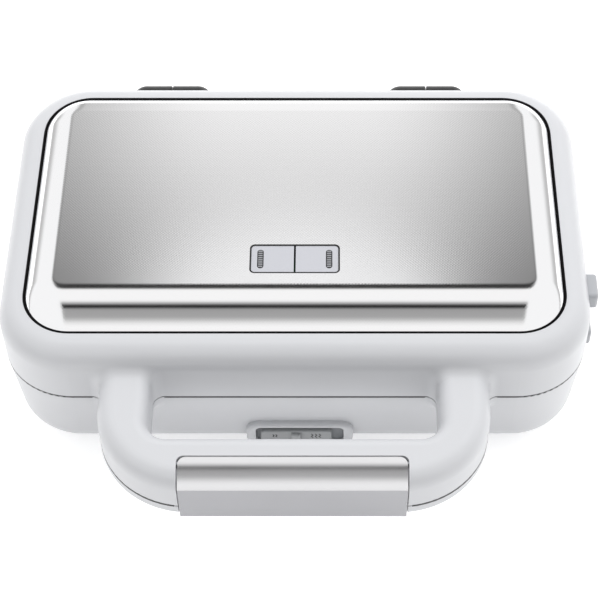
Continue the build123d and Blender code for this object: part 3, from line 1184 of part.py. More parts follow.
def thermal_fuse():
    z = REFLECTOR_FLOOR - FUSE_RADIUS
    fuse = rod_x(FUSE_RADIUS, FUSE_X - FUSE_LENGTH / 2, FUSE_X + FUSE_LENGTH / 2, 10, z)
    fuse += rod_x(0.5, FUSE_X - FUSE_LENGTH, FUSE_X + FUSE_LENGTH, 10, z)
    return fuse + block(FUSE_X - 2, FUSE_X + 2, 10 - FUSE_RADIUS, 10 + FUSE_RADIUS, z, REFLECTOR_FLOOR)


def terminal_block():
    x0 = TERMINAL_X - TERMINAL_WIDTH / 2
    x1 = TERMINAL_X + TERMINAL_WIDTH / 2
    y0 = TERMINAL_Y - TERMINAL_DEPTH / 2
    y1 = TERMINAL_Y + TERMINAL_DEPTH / 2
    body = block(x0, x1, y0, y1, FLOOR_TOP, TERMINAL_TOP)
    for i in range(3):
        x = x0 + TERMINAL_WIDTH * (i + 0.5) / 3
        body -= rod_z(2.2, x, TERMINAL_Y, TERMINAL_TOP - 4, TERMINAL_TOP + 1)
    return body


def wire(*points):
    path = FilletPolyline(*points, radius=WIRE_BEND)
    start = Plane(origin=path @ 0, z_dir=path % 0)
    return sweep(start * Circle(WIRE_RADIUS), path=path)


def base_wiring():
    z = WIRE_HEIGHT
    left = TERMINAL_X - TERMINAL_WIDTH / 2
    right = TERMINAL_X + TERMINAL_WIDTH / 2
    front = TERMINAL_Y - TERMINAL_DEPTH / 2
    end = ELEMENT_ENDS / 2
    pin = ELEMENT_BACK + ELEMENT_PIN_LENGTH
    behind = pin + WIRE_BEHIND_PIN
    switch_left = SELECTOR_X - SWITCH_WIDTH / 2
    switch_right = SELECTOR_X + SWITCH_WIDTH / 2
    switch_y = SWITCH_FRONT + SWITCH_EAR + (SWITCH_DEPTH - SWITCH_EAR) / 2
    t = THERMOSTAT_X
    return [
        wire((left + 6, front, z), (left + 6, 0, z), (t - BLADE_TIP, 0, z)),
        wire((t + BLADE_TIP, 0, z), (t + BLADE_TIP + 11, 0, z), (t + BLADE_TIP + 11, behind, z), (end,
                                                                                                  behind, z),
             (end, behind, ELEMENT_Z), (end, pin, ELEMENT_Z)),
        wire((right, TERMINAL_Y + 2, z), (-end, TERMINAL_Y + 2, z), (-end, behind, z), (-end, behind,
                                                                                        ELEMENT_Z),
             (-end, pin, ELEMENT_Z)),
        wire((left, TERMINAL_Y, z), (left - WIRE_SIDE_RUN, TERMINAL_Y, z), (left - WIRE_SIDE_RUN, switch_y,
                                                                            z), (switch_left, switch_y, z)),
        wire((switch_right, switch_y, z), (t, switch_y, z), (t, -BLADE_TIP, z)),
    ]


def lid_wiring():
    end = ELEMENT_ENDS / 2
    pin = ELEMENT_BACK + ELEMENT_PIN_LENGTH
    behind = pin + WIRE_BEHIND_PIN
    z = 2 * SEAM_HEIGHT - ELEMENT_Z
    low = z - 9
    wires = []
    for side in (-1, 1):
        x = side * (end + WIRE_SIDE_RUN)
        wires.append(wire((x, LID_INNER_BACK, low), (x, behind, low), (side * end, behind, low),
                          (side * end, behind, z), (side * end, pin, z)))
    under = DECK_UNDERSIDE - WIRE_RADIUS - 0.4
    over = DECK_TOP + WIRE_RADIUS + 1.8
    skirt = INDICATOR_WIDTH / 2 + INDICATOR_SKIRT
    x = INDICATOR_WIRE_X
    wires.append(wire((x, LID_INNER_BACK - LID_INNER_ROUND, under), (x, INDICATOR_WIRE_Y, under),
                      (x, INDICATOR_WIRE_Y, over), (x, INDICATOR_Y, over), (skirt, INDICATOR_Y, over)))
    return wires


os.makedirs("parts", exist_ok=True)
save("base_housing", base_housing())
save("lid_housing", lid_housing())
save("handle_cover", handle_cover())
save("lid_panel", lid_panel())
save("panel_gasket", panel_gasket())
save("indicator_frame", indicator_frame())
save("left_indicator_tile", indicator_tile(-1))
save("right_indicator_tile", indicator_tile(1))
save("power_lens", indicator_lens(-1))
save("ready_lens", indicator_lens(1))
save("indicator_board", indicator_board())
save("lower_plate_frame", plate_frame())
save("upper_plate_frame", upper(plate_frame()))
save("lower_cooking_plate", cooking_plate())
save("upper_cooking_plate", upper(cooking_plate()))
save("lower_reflector", reflector())
save("upper_reflector", upper(reflector()))
save("lower_heating_element", heating_element())
save("upper_heating_element", upper(heating_element()))
save("lower_element_clamps", *element_clamps())
save("upper_element_clamps", *[upper(c) for c in element_clamps()])
save("base_frame_screws", *[screw(x, y, FRAME_TOP - SCREW_HEAD, -1) for x, y in four(BOSS_X, BOSS_Y)])
save("lid_frame_screws", *[upper(screw(x, y, FRAME_TOP - SCREW_HEAD, -1)) for x, y in four(BOSS_X, BOSS_Y)])
save("handle_cover_screws", *[screw(x, y, LID_BOTTOM + SCREW_HEAD, 1) for x, y in HANDLE_SCREWS])
save("cover_screws", *[screw(x, y, FOOT_HEIGHT, 1) for x, y in COVER_SCREWS])
save("lower_release_button", release_button(LOWER_BUTTON_Z, False))
save("upper_release_button", release_button(UPPER_BUTTON_Z, True))
save("lower_release_slide", release_slide(LOWER_BUTTON_Z, SLIDE_Z))
save("upper_release_slide", release_slide(UPPER_BUTTON_Z, 2 * SEAM_HEIGHT - SLIDE_Z - SLIDE_THICK))
save("lower_release_spring", release_spring(LOWER_BUTTON_Z))
save("upper_release_spring", release_spring(UPPER_BUTTON_Z))
for side, name in ((-1, "left"), (1, "right")):
    save(f"{name}_base_knuckle", knuckle(side, False))
    save(f"{name}_lid_knuckle", knuckle(side, True))
    save(f"{name}_hinge_pin", rod_x(HINGE_PIN_RADIUS, *hinge_pin_span(side, 0), HINGE_Y, HINGE_HEIGHT))
save("base_hinge_screws", *hinge_screws(False))
save("lid_hinge_screws", *hinge_screws(True))
save("latch_clip", latch_clip())
save("latch_pin", latch_pin())
save("latch_spring", latch_spring())
save("latch_keeper", keeper(0))
save("selector_bezel", selector_bezel())
save("selector_knob", selector_knob())
save("selector_carriage", selector_carriage())
save("selector_switch", selector_switch())
save("base_cover", base_cover())
save("rubber_feet", *[foot(x, y) for x, y in four(FOOT_X, FOOT_Y)])
save("cord_gland", cord_gland())
save("thermostat", thermostat())
save("thermal_fuse", thermal_fuse())
save("terminal_block", terminal_block())
save("base_wiring", *base_wiring())
save("lid_wiring", *lid_wiring())
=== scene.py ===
# %% [markdown]
# # A sandwich toaster, dressed for its portrait
#
# The toaster is a white plastic clam with a pressed steel lid panel, a loop handle in two
# halves and a metal latch clip. Its solids come ready made, with their hinge, latch, buttons
# and slider. This lesson gives them their finishes, and remodels the few pieces whose look
# depends on a smoother or finer shape than the solids have.
#
# The first cell loads the solids. They lie in metres, each at its own place.

# %% Load the solids
import json
import math

import bmesh
import bpy
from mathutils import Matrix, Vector

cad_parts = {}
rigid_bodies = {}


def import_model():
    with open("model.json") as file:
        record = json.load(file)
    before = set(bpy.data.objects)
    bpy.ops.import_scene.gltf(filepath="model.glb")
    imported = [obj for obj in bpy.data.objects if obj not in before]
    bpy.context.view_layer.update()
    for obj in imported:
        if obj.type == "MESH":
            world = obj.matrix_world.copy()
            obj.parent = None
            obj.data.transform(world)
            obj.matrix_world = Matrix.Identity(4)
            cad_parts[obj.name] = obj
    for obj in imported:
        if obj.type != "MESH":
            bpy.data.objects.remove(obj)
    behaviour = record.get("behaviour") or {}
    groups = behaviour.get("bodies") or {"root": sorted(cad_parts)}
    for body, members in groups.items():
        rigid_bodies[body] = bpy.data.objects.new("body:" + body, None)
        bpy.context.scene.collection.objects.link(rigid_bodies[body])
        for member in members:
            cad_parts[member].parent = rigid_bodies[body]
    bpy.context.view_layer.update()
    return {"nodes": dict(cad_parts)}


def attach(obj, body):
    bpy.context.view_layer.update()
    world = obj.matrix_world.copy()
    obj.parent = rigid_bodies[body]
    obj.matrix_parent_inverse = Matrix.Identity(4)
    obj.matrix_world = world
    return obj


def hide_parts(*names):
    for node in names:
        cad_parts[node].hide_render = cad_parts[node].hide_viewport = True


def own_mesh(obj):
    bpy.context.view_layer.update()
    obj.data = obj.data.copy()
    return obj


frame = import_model()
nodes = frame["nodes"]
bpy.ops.object.select_all(action="DESELECT")

# %% [markdown]
# ## Where things are
#
# The origin of the solids is the middle of the footprint, handle and hinges included. Sizes
# here are in millimetres about the middle of the steel panel, because those are easier to
# think in, and one function turns them into places in metres.

# %% Sizes that several cells use
MM = 0.001
HAIR_M = 0.00001  # a hundredth of a millimetre in metres, less than any step between two points
SHIFT = Vector((-2.5, 21.425, 0.0))
BODY_WIDTH = 302.4
BODY_DEPTH = 189.7
BODY_CORNER = 38.0
BODY_MIDDLE_Y = -0.4
PANEL_WIDTH = 273.8
PANEL_DEPTH = 158.1
PANEL_CORNER = 24.0
RIM_HEIGHT = 88.0
FIELD_HEIGHT = 97.0
DECK_HEIGHT = 85.5
SHEET = 0.8
FIELD_INSET_SIDE = 15.4
INDICATOR_Y = -39.7
INDICATOR_WIDTH = 46.0
INDICATOR_DEPTH = 18.8
INDICATOR_CORNER = 2.6


def place(x, y, z):
    """A place in metres from millimetres about the middle of the panel."""
    return (Vector((x, y, z)) + SHIFT) * MM


# %% [markdown]
# ## The camera
#
# The photograph looks down at the toaster from straight in front, at about 53 degrees, through
# a long lens a metre away. That hides the vertical walls almost completely, so what shows is
# the steel panel, the rim round it and the top of the handle. Lines that run left and right
# stay level, but lines that run back meet right of the middle: the photograph was trimmed
# more on its right side. A small sideways shift of the lens gives the same.

# %% Camera
CAMERA_PLACE = (0.0165, -0.580125, 0.79825)
CAMERA_PITCH = 52.64
CAMERA_LENS = 105.9
CAMERA_SHIFT = -0.0535
CAMERA_SENSOR = 36.0
CAMERA_NEAR, CAMERA_FAR = 0.05, 60.0

bpy.ops.object.camera_add(
    location=CAMERA_PLACE,
    rotation=(math.radians(90.0 - CAMERA_PITCH), 0.0, 0.0),
)
camera = bpy.context.active_object
camera.name = "portrait_camera"
camera.data.lens = CAMERA_LENS
camera.data.shift_x = CAMERA_SHIFT
camera.data.sensor_width = CAMERA_SENSOR
camera.data.clip_start = CAMERA_NEAR
camera.data.clip_end = CAMERA_FAR
bpy.context.scene.camera = camera
print("camera at", [round(v, 3) for v in camera.location])

# %% [markdown]
# ## A small tool for materials
#
# Colours are written as the hex values a picture editor shows, so one function turns them
# into the linear values that Blender mixes. A second adds a node, with its settings and with
# its inputs, each a number or a link from another node. All patterns read the place on the
# object in metres, so a feature size in millimetres becomes a scale of 1000 over that size.

# %% Colour and node helpers
PER_METRE = 1000.0
MIXED = 2  # a mix node gives its colour by its third output


def linear(code):
    """Linear RGBA from an sRGB hex code such as d8d9dc."""
    parts = [int(code[i:i + 2], 16) / 255.0 for i in (0, 2, 4)]
    return tuple(c / 12.92 if c <= 0.04045 else ((c + 0.055) / 1.055) ** 2.4 for c in parts) + (1.0,)


def add_node(tree, kind, inputs=None, **settings):
    """One node; inputs gives sockets their numbers, or a link where the value is a socket."""
    made = tree.nodes.new(kind)
    for name, value in settings.items():
        setattr(made, name, value)
    for key, value in (inputs or {}).items():
        if isinstance(value, bpy.types.NodeSocket):
            tree.links.new(value, made.inputs[key])
        else:
            made.inputs[key].default_value = value
    return made


def surface(name, **sockets):
    """A new material, its tree, its shader and the object coordinates."""
    material = bpy.data.materials.new(name)
    material.use_nodes = True
    tree = material.node_tree
    shader = tree.nodes["Principled BSDF"]
    for key, value in sockets.items():
        shader.inputs[key.replace("_", " ").title().replace("Ior", "IOR")].default_value = value
    where = add_node(tree, "ShaderNodeTexCoord").outputs["Object"]
    return material, tree, shader, where


# %% [markdown]
# ## The light that the steel sees
#
# The photograph is a catalogue shot on a white ground. Polished steel shows nothing but what
# stands round it, so the room is drawn first: a sky whose brightness depends on how far a
# direction has climbed from the back horizon, over the top, to the front horizon. A pale
# wall behind, dimmer towards its sides and with a pool of lamp light near its top, a gap, a
# wide soft box overhead, a narrow gap, the dim room in front and the white sweep under it give
# the bands that the field and its rolled edge show in the photograph. Boxes left and right
# light the rolled ends. They leave a gap low at the back and fade out low in front.

# %% Sky
# Each stop is a climb in degrees and the grey of the sky there. All angles are in degrees.
CLIMB = [
    (0, 1.0), (44.5, 1.0), (46.4, 0.97), (47.5, 0.85), (49.5, 0.69), (50.6, 0.58), (52.0, 0.46),
    (54.2, 0.40), (54.7, 0.03), (62.4, 0.04), (65.4, 1.0), (85.5, 1.0), (91.2, 0.30), (94.0, 0.01),
    (97.2, 0.01), (100.5, 0.36), (113.0, 0.40), (117.5, 0.54), (120.5, 0.72), (124.0, 0.88),
    (128.5, 1.0), (141.0, 1.0), (148.0, 0.30), (180.0, 0.20)]
SKY_TINT = (1.0, 0.995, 0.99)
WALL_MIDDLE = -1.2
WALL_BRIGHT_TO, WALL_DIM_FROM = 2.3, 9.6
WALL_DIM = 0.55
WALL_END = 54.6
WALL_FADE = 0.5
POOL_CLIMB = 53.4
POOL_WIDTH = 5.6
POOL_HEIGHT = 3.6
POOL_RIM, POOL_CORE = 1.25, 0.35
POOL_FADE = 0.4
SIDE_BOX_START = 10.2
SIDE_BOX_FULL = 15.0
SIDE_GAP = 0.8
SIDE_GAP_START, SIDE_GAP_FULL = 25.0, 38.0
SIDE_GAP_TOP, SIDE_GAP_LOW = 30.0, 8.0
FRONT_END = 152.0
FRONT_FADE = 8.0
FRONT_REST = 0.25
SKY_STRENGTH = 1.1

world = bpy.data.worlds.new("studio")
world.use_nodes = True
bpy.context.scene.world = world
sky = world.node_tree
toward = add_node(sky, "ShaderNodeTexCoord").outputs["Generated"]
toward = add_node(sky, "ShaderNodeSeparateXYZ", {"Vector": toward}).outputs
climb = add_node(sky, "ShaderNodeMath", {0: toward["Z"], 1: toward["Y"]}, operation="ARCTAN2")
climb = climb.outputs["Value"]
aside = add_node(sky, "ShaderNodeMath", {0: toward["X"]}, operation="ARCSINE").outputs["Value"]
along = add_node(sky, "ShaderNodeMath", {0: climb, 1: 1.0 / math.pi}, operation="MULTIPLY").outputs["Value"]
bands = add_node(sky, "ShaderNodeValToRGB", {"Fac": along})
stops = bands.color_ramp.elements
while len(stops) < len(CLIMB):
    stops.new(0.5)
for stop, (degrees, grey) in zip(stops, CLIMB):
    stop.position = degrees / 180.0
    stop.color = tuple(grey * tint for tint in SKY_TINT) + (1.0,)
off_middle = add_node(sky, "ShaderNodeMath", {0: aside, 1: math.radians(WALL_MIDDLE)}, operation="SUBTRACT")
off_middle = off_middle.outputs["Value"]
off_side = add_node(sky, "ShaderNodeMath", {0: off_middle}, operation="ABSOLUTE").outputs["Value"]


def fade(value, start, end, low=0.0, high=1.0):
    """A smooth step of the sky between two angles in degrees."""
    return add_node(sky, "ShaderNodeMapRange", {
        "Value": value, "From Min": math.radians(start), "From Max": math.radians(end), "To Min": low,
        "To Max": high}, interpolation_type="SMOOTHSTEP").outputs["Result"]


def combine(operation, one, other):
    """One sum, product or larger value of two parts of the sky."""
    return add_node(sky, "ShaderNodeMath", {0: one, 1: other}, operation=operation).outputs["Value"]


dimmer = combine("SUBTRACT", 1.0, combine(
    "MULTIPLY", fade(off_side, WALL_BRIGHT_TO, WALL_DIM_FROM, 0.0, WALL_DIM),
    fade(climb, WALL_END, WALL_END - WALL_FADE)))
across = combine("DIVIDE", off_middle, math.radians(POOL_WIDTH))
upward = combine("DIVIDE", combine("SUBTRACT", climb, math.radians(POOL_CLIMB)), math.radians(POOL_HEIGHT))
distance = combine("ADD", combine("MULTIPLY", across, across), combine("MULTIPLY", upward, upward))
pool_shape = add_node(sky, "ShaderNodeMapRange", {
    "Value": distance, "From Min": POOL_RIM, "From Max": POOL_CORE}, interpolation_type="SMOOTHSTEP")
pool = combine("MULTIPLY", pool_shape.outputs["Result"], fade(climb, WALL_END, WALL_END - POOL_FADE))
low_side = combine("MULTIPLY", fade(off_side, SIDE_GAP_START, SIDE_GAP_FULL, 0.0, SIDE_GAP),
                   fade(climb, SIDE_GAP_TOP, SIDE_GAP_LOW))
side_boxes = combine("SUBTRACT", fade(off_side, SIDE_BOX_START, SIDE_BOX_FULL), low_side)
side_boxes = combine("MULTIPLY", side_boxes,
                     fade(climb, FRONT_END, FRONT_END - FRONT_FADE, FRONT_REST, 1.0))
cards = combine("MAXIMUM", pool, side_boxes)
dimmed = add_node(sky, "ShaderNodeMix", {
    "Factor": dimmer, "A": (0.0, 0.0, 0.0, 1.0), "B": bands.outputs["Color"]}, data_type="RGBA")
room = add_node(sky, "ShaderNodeMix", {
    "Factor": cards, "A": dimmed.outputs[MIXED], "B": (1.0, 1.0, 1.0, 1.0)}, data_type="RGBA")
sky.links.new(room.outputs[MIXED], sky.nodes["Background"].inputs["Color"])
sky.nodes["Background"].inputs["Strength"].default_value = SKY_STRENGTH
print("sky stops:", len(stops))

# %% [markdown]
# ## The floor and the fill
#
# The floor is a plain sheet of white acrylic with a sanded, matt top, lit softly from below as
# on a catalogue table, so that hardly a shadow stays on it. One large overhead panel fills the
# white plastic evenly. It is left out of reflections, because the sky already holds everything
# that the steel is meant to show.

# %% Floor and lamps
FLOOR_SIZE = 12.0
FLOOR_GLOW = 0.38
FLOOR_HAZE_MM = 2.0

bpy.ops.mesh.primitive_plane_add(size=FLOOR_SIZE, location=(0.0, 0.0, 0.0))
floor = bpy.context.active_object
floor.name = "studio_floor"
acrylic, tree, shader, where = surface("lit_white_acrylic", base_color=linear("f8f8f8"), roughness=0.9)
haze = add_node(tree, "ShaderNodeTexNoise", {
    "Vector": where, "Scale": PER_METRE / FLOOR_HAZE_MM, "Detail": 2.0})
pale = add_node(tree, "ShaderNodeMix", {
    "Factor": haze.outputs["Fac"], "A": linear("f8f8f8"), "B": linear("fbfbfb")}, data_type="RGBA")
tree.links.new(pale.outputs[MIXED], shader.inputs["Base Color"])
shader.inputs["Emission Color"].default_value = linear("ffffff")
shader.inputs["Emission Strength"].default_value = FLOOR_GLOW
floor.data.materials.append(acrylic)


def soft_box(name, azimuth, elevation, distance, width, height, power):
    """A rectangular lamp aimed at the toaster, azimuth 0 behind it and 180 in front."""
    turn, rise = math.radians(azimuth), math.radians(elevation)
    direction = Vector((math.sin(turn) * math.cos(rise), math.cos(turn) * math.cos(rise), math.sin(rise)))
    bpy.ops.object.light_add(type="AREA", location=direction * distance)
    lamp = bpy.context.active_object
    lamp.name = name
    lamp.rotation_euler = direction.to_track_quat("Z", "Y").to_euler()
    lamp.data.shape = "RECTANGLE"
    lamp.data.size = width
    lamp.data.size_y = height
    lamp.data.energy = power
    lamp.visible_glossy = False
    lamp.visible_camera = False


soft_box("overhead_fill", azimuth=20.0, elevation=62.0, distance=2.0, width=2.2, height=1.8, power=30.0)
bpy.context.scene.view_settings.view_transform = "Standard"

# %% [markdown]
# ## Moulded white housing
#
# The housing is ABS, injection moulded in a polished tool, so it is smooth with a soft
# gloss. ABS has an index of about 1.54. Up close such a wall is never perfectly even: it
# sinks a little over its ribs and keeps a faint orange peel, which is what makes its
# reflections waver. Two noises give that, one about 25 mm across and one about 1 mm.

# %% White housing
ABS_IOR = 1.54
DRIFT_MM = 25.0
GLOSS_DRIFT = 0.04
PEEL_STRENGTH = 0.25


def moulded(name, code, roughness, peel_mm, peel_depth, shade=0.03, ior=ABS_IOR):
    """A moulded plastic: even colour with a slow drift, orange peel, and a roughness that varies."""
    material, tree, shader, where = surface(name, roughness=roughness, ior=ior)
    drift = add_node(tree, "ShaderNodeTexNoise", {
        "Vector": where, "Scale": PER_METRE / DRIFT_MM, "Detail": 2.0})
    base = linear(code)
    darker = tuple(c * (1.0 - shade) for c in base[:3]) + (1.0,)
    tint = add_node(tree, "ShaderNodeMix", {"Factor": drift.outputs["Fac"], "A": base, "B": darker},
                    data_type="RGBA")
    tree.links.new(tint.outputs[MIXED], shader.inputs["Base Color"])
    gloss = add_node(tree, "ShaderNodeMapRange", {
        "Value": drift.outputs["Fac"], "To Min": roughness - GLOSS_DRIFT, "To Max": roughness + GLOSS_DRIFT})
    tree.links.new(gloss.outputs["Result"], shader.inputs["Roughness"])
    peel = add_node(tree, "ShaderNodeTexNoise", {
        "Vector": where, "Scale": PER_METRE / peel_mm, "Detail": 3.0})
    bump = add_node(tree, "ShaderNodeBump", {
        "Height": peel.outputs["Fac"], "Strength": PEEL_STRENGTH, "Distance": peel_depth * MM})
    tree.links.new(bump.outputs["Normal"], shader.inputs["Normal"])
    return material


def finish_nodes(table):
    """Give every solid of the table, which lists names by material, its finish."""
    for material, names in table.items():
        for name in names:
            nodes[name].data.materials.clear()
            nodes[name].data.materials.append(material)
    print("finished:", sum(len(names) for names in table.values()), "solids in", len(table), "materials")


# Name, colour, roughness, peel in mm, depth of the peel in mm.
white_abs = moulded("moulded_white_abs", "bfc0c3", 0.34, 1.2, 0.02, shade=0.015)
finish_nodes({white_abs: ("base_housing", "lid_housing", "handle_cover", "base_cover")})

# %% [markdown]
# ## Other plastics
#
# The release buttons and the slider are satin plastic from a lightly spark-eroded tool, whose
# grain is a few tenths of a millimetre. The indicator has tiles of pale grey acrylic with
# lenses of smoked acrylic, all from a polished tool. The ribs on the lenses are the same resin,
# painted a paler grey as a highlight where their edges catch the light. The hinges and the
# frames round the plates sit close to the heat, so they are glass-filled nylon or PBT: near
# black, with a coarser, duller skin.

# %% Grey and black plastics
# Name, colour, roughness, grain in mm, depth of the grain in mm.
light_grey_abs = moulded("satin_light_grey_abs", "a2a4a8", 0.38, 0.5, 0.015)
tile_acrylic = moulded("tile_pale_grey_acrylic", "b2b3b9", 0.30, 0.8, 0.008)
dark_grey_abs = moulded("satin_dark_grey_abs", "8f9193", 0.45, 0.4, 0.03)
bezel_abs = moulded("satin_mid_grey_abs", "84868a", 0.50, 0.4, 0.03)
black_nylon = moulded("glass_filled_black_nylon", "151516", 0.46, 0.35, 0.05, shade=0.12, ior=1.53)
lens_resin = moulded("smoked_lens_resin", "2e2f31", 0.25, 0.6, 0.01, shade=0.1, ior=1.49)
# The ribs' paler grey is a painted highlight on the smoked lens resin.
rib_resin_highlight = moulded("smoked_lens_resin_rib_highlight", "8a8b8f", 0.25, 0.6, 0.01, shade=0.1, ior=1.49)
finish_nodes({
    light_grey_abs: ("lower_release_button", "upper_release_button", "terminal_block"),
    tile_acrylic: ("left_indicator_tile", "right_indicator_tile"),
    dark_grey_abs: ("selector_knob", "selector_carriage", "lower_release_slide", "upper_release_slide"),
    bezel_abs: ("selector_bezel",),
    black_nylon: ("left_base_knuckle", "right_base_knuckle", "left_lid_knuckle", "right_lid_knuckle",
                  "lower_plate_frame", "upper_plate_frame", "indicator_frame", "selector_switch"),
    lens_resin: ("power_lens", "ready_lens"),
})

# %% [markdown]
# ## The pressed steel panel
#
# The real panel is one blank of stainless sheet, 0.8 mm thick. A press rolls its edge down in
# an arc, wider at the front than at the back and the sides. It could be a cube with a bevel,
# but a bevel has one width all round. Insetting a plate again and again instead makes the
# roll ring by ring, and each ring can be squeezed and moved a little from front to back, which
# is what gives the front its wider roll.

# %% Helpers for modelling by hand
def fresh_start():
    """Leave edit mode and deselect everything, so that an operator acts on one piece only."""
    if bpy.context.object and bpy.context.object.mode != "OBJECT":
        bpy.ops.object.mode_set(mode="OBJECT")
    bpy.ops.object.select_all(action="DESELECT")


def make_active(piece):
    """Select the piece alone, in object mode."""
    fresh_start()
    piece.select_set(True)
    bpy.context.view_layer.objects.active = piece


def new_plate(name, width, depth, corner, x, y, z, segments):
    """A flat plate with rounded corners, left in edit mode with its face selected."""
    fresh_start()
    bpy.ops.mesh.primitive_plane_add(size=1.0, location=place(x, y, z))
    plate = bpy.context.active_object
    plate.name = name
    plate.scale = (width * MM, depth * MM, 1.0)
    bpy.ops.object.transform_apply(location=True, rotation=True, scale=True)
    bpy.ops.object.mode_set(mode="EDIT")
    bpy.ops.mesh.select_all(action="SELECT")
    bpy.ops.mesh.bevel(offset=corner * MM, segments=segments, affect="VERTICES")
    bpy.ops.mesh.select_all(action="SELECT")
    return plate


def pick(piece, kind, test):
    """Select the faces, by middle and normal, or the edges, by middle, that pass the test."""
    bpy.ops.mesh.select_mode(type=kind)
    bpy.ops.mesh.select_all(action="DESELECT")
    mesh = bmesh.from_edit_mesh(piece.data)
    if kind == "FACE":
        for face in mesh.faces:
            if test(face.calc_center_median(), face.normal):
                face.select_set(True)
    else:
        for edge in mesh.edges:
            if test((edge.verts[0].co + edge.verts[1].co) / 2.0, edge):
                edge.select_set(True)
    bmesh.update_edit_mesh(piece.data)


def extrude(y=0.0, z=0.0):
    """Extrude what is selected by a distance in millimetres."""
    bpy.ops.mesh.extrude_region_move(TRANSFORM_OT_translate={"value": (0.0, y * MM, z * MM)})


def normals_out():
    """Turn all faces of the piece in edit mode outwards."""
    bpy.ops.mesh.select_all(action="SELECT")
    bpy.ops.mesh.normals_make_consistent(inside=False)


def add_thickness(piece, sheet, even=False):
    """A modifier that gives a surface its sheet thickness, inwards."""
    made = piece.modifiers.new("sheet", "SOLIDIFY")
    made.thickness = sheet * MM
    made.offset = -1.0
    made.use_even_offset = even


def finish_piece(piece, material, angle=30.0):
    """Out of edit mode, shaded smooth below the angle, with its material."""
    make_active(piece)
    bpy.ops.object.shade_smooth_by_angle(angle=math.radians(angle))
    piece.data.materials.append(material)
    fresh_start()
    print(piece.name, "faces:", len(piece.data.polygons))


def apply_modifiers(piece):
    """Apply every modifier on the piece, in order."""
    make_active(piece)
    for modifier in list(piece.modifiers):
        bpy.ops.object.modifier_apply(modifier=modifier.name)


# %% The roll, ring by ring
ROLL_RINGS = 24
ROLL_FRONT = 23.7
FIELD_CORNER = 4.5
FIELD_MARGIN = 0.6
PANEL_SEGMENTS = 20
WINDOW_SEGMENTS = 14
roll_rise = FIELD_HEIGHT - RIM_HEIGHT
corner_pull = (PANEL_CORNER - FIELD_CORNER) / FIELD_INSET_SIDE


def roll_run(reach, drop):
    """How far out from the field's edge the rolled arc lies at one drop below the field."""
    radius = (reach ** 2 + roll_rise ** 2) / (2.0 * roll_rise)
    return math.sqrt(radius ** 2 - (radius - drop) ** 2)


panel = new_plate("pressed_lid_panel", PANEL_WIDTH, PANEL_DEPTH, PANEL_CORNER, 0.0, 0.0, RIM_HEIGHT,
                  PANEL_SEGMENTS)
half_width, half_depth, middle = PANEL_WIDTH / 2.0, PANEL_DEPTH / 2.0, 0.0
side_before, rise_before = 0.0, 0.0
for ring in range(1, ROLL_RINGS + 1):
    drop = roll_rise * (1.0 - ring / ROLL_RINGS) ** 2
    in_side = FIELD_INSET_SIDE - roll_run(FIELD_INSET_SIDE, drop)
    in_front = ROLL_FRONT - roll_run(ROLL_FRONT, drop)
    rise = roll_rise - drop
    step = (in_side - side_before) * corner_pull
    bpy.ops.mesh.inset(thickness=step * MM, depth=(rise - rise_before) * MM)
    reached_width, reached_depth = half_width - step, half_depth - step
    half_width = PANEL_WIDTH / 2.0 - in_side
    half_depth = (PANEL_DEPTH - in_side - in_front) / 2.0
    bpy.ops.transform.resize(value=(half_width / reached_width, half_depth / reached_depth, 1.0),
                             center_override=place(0.0, middle, 0.0))
    bpy.ops.transform.translate(value=(0.0, ((in_front - in_side) / 2.0 - middle) * MM, 0.0))
    middle, side_before, rise_before = (in_front - in_side) / 2.0, in_side, rise
bpy.ops.mesh.inset(thickness=FIELD_MARGIN * MM, depth=0.0)
print("roll vertices:", len(bpy.context.active_object.data.vertices))

# %% [markdown]
# The field ends as one many-sided face. The window for the indicator is a second rounded
# outline on it: the big face is deleted, and the two outlines are bridged. The rim's edge is
# then pulled straight down to the deck, and the surface gets the thickness of the sheet.

# %% The window, the turned-down rim and the sheet's thickness
bpy.ops.mesh.delete(type="ONLY_FACE")
window = new_plate("window_outline", INDICATOR_WIDTH, INDICATOR_DEPTH, INDICATOR_CORNER,
                   0.0, INDICATOR_Y, FIELD_HEIGHT, WINDOW_SEGMENTS)
bpy.ops.mesh.delete(type="ONLY_FACE")
fresh_start()
window.select_set(True)
panel.select_set(True)
bpy.context.view_layer.objects.active = panel
bpy.ops.object.join()
bpy.ops.object.mode_set(mode="EDIT")
top = FIELD_HEIGHT * MM - HAIR_M
pick(panel, "EDGE", lambda spot, edge: spot.z > top and (edge.is_boundary or not edge.link_faces))
bpy.ops.mesh.bridge_edge_loops()
low = RIM_HEIGHT * MM + HAIR_M
pick(panel, "EDGE", lambda spot, edge: spot.z < low and edge.is_boundary)
extrude(z=DECK_HEIGHT - RIM_HEIGHT)
normals_out()
bpy.ops.object.mode_set(mode="OBJECT")
add_thickness(panel, SHEET, even=True)
apply_modifiers(panel)

# %% [markdown]
# ## Stainless steel with a linen emboss
#
# The sheet is bright stainless: fully metallic, a little yellower than aluminium. Before it
# is pressed it runs between rollers that emboss a fine linen pattern of crossing ridges,
# which hides fingerprints. The ridges only tilt the surface by a degree or so, enough to
# give every edge of a reflection a beaded look. Two crossed wave textures make them. The
# real ridges are about 0.7 mm apart, and are drawn 1.15 mm apart so that they show.

# %% Steel
LINEN_PITCH_MM = 1.15
LINEN_DEPTH_MM = 0.0055
WAVE_RATE = 20.0  # Blender's wave texture repeats every 2 pi over this
HAZE_MM = 40.0
HAZE_LOW, HAZE_HIGH = 0.3, 0.7
HAZE_SHARE = 0.06
GRAIN_STRENGTH = 0.3


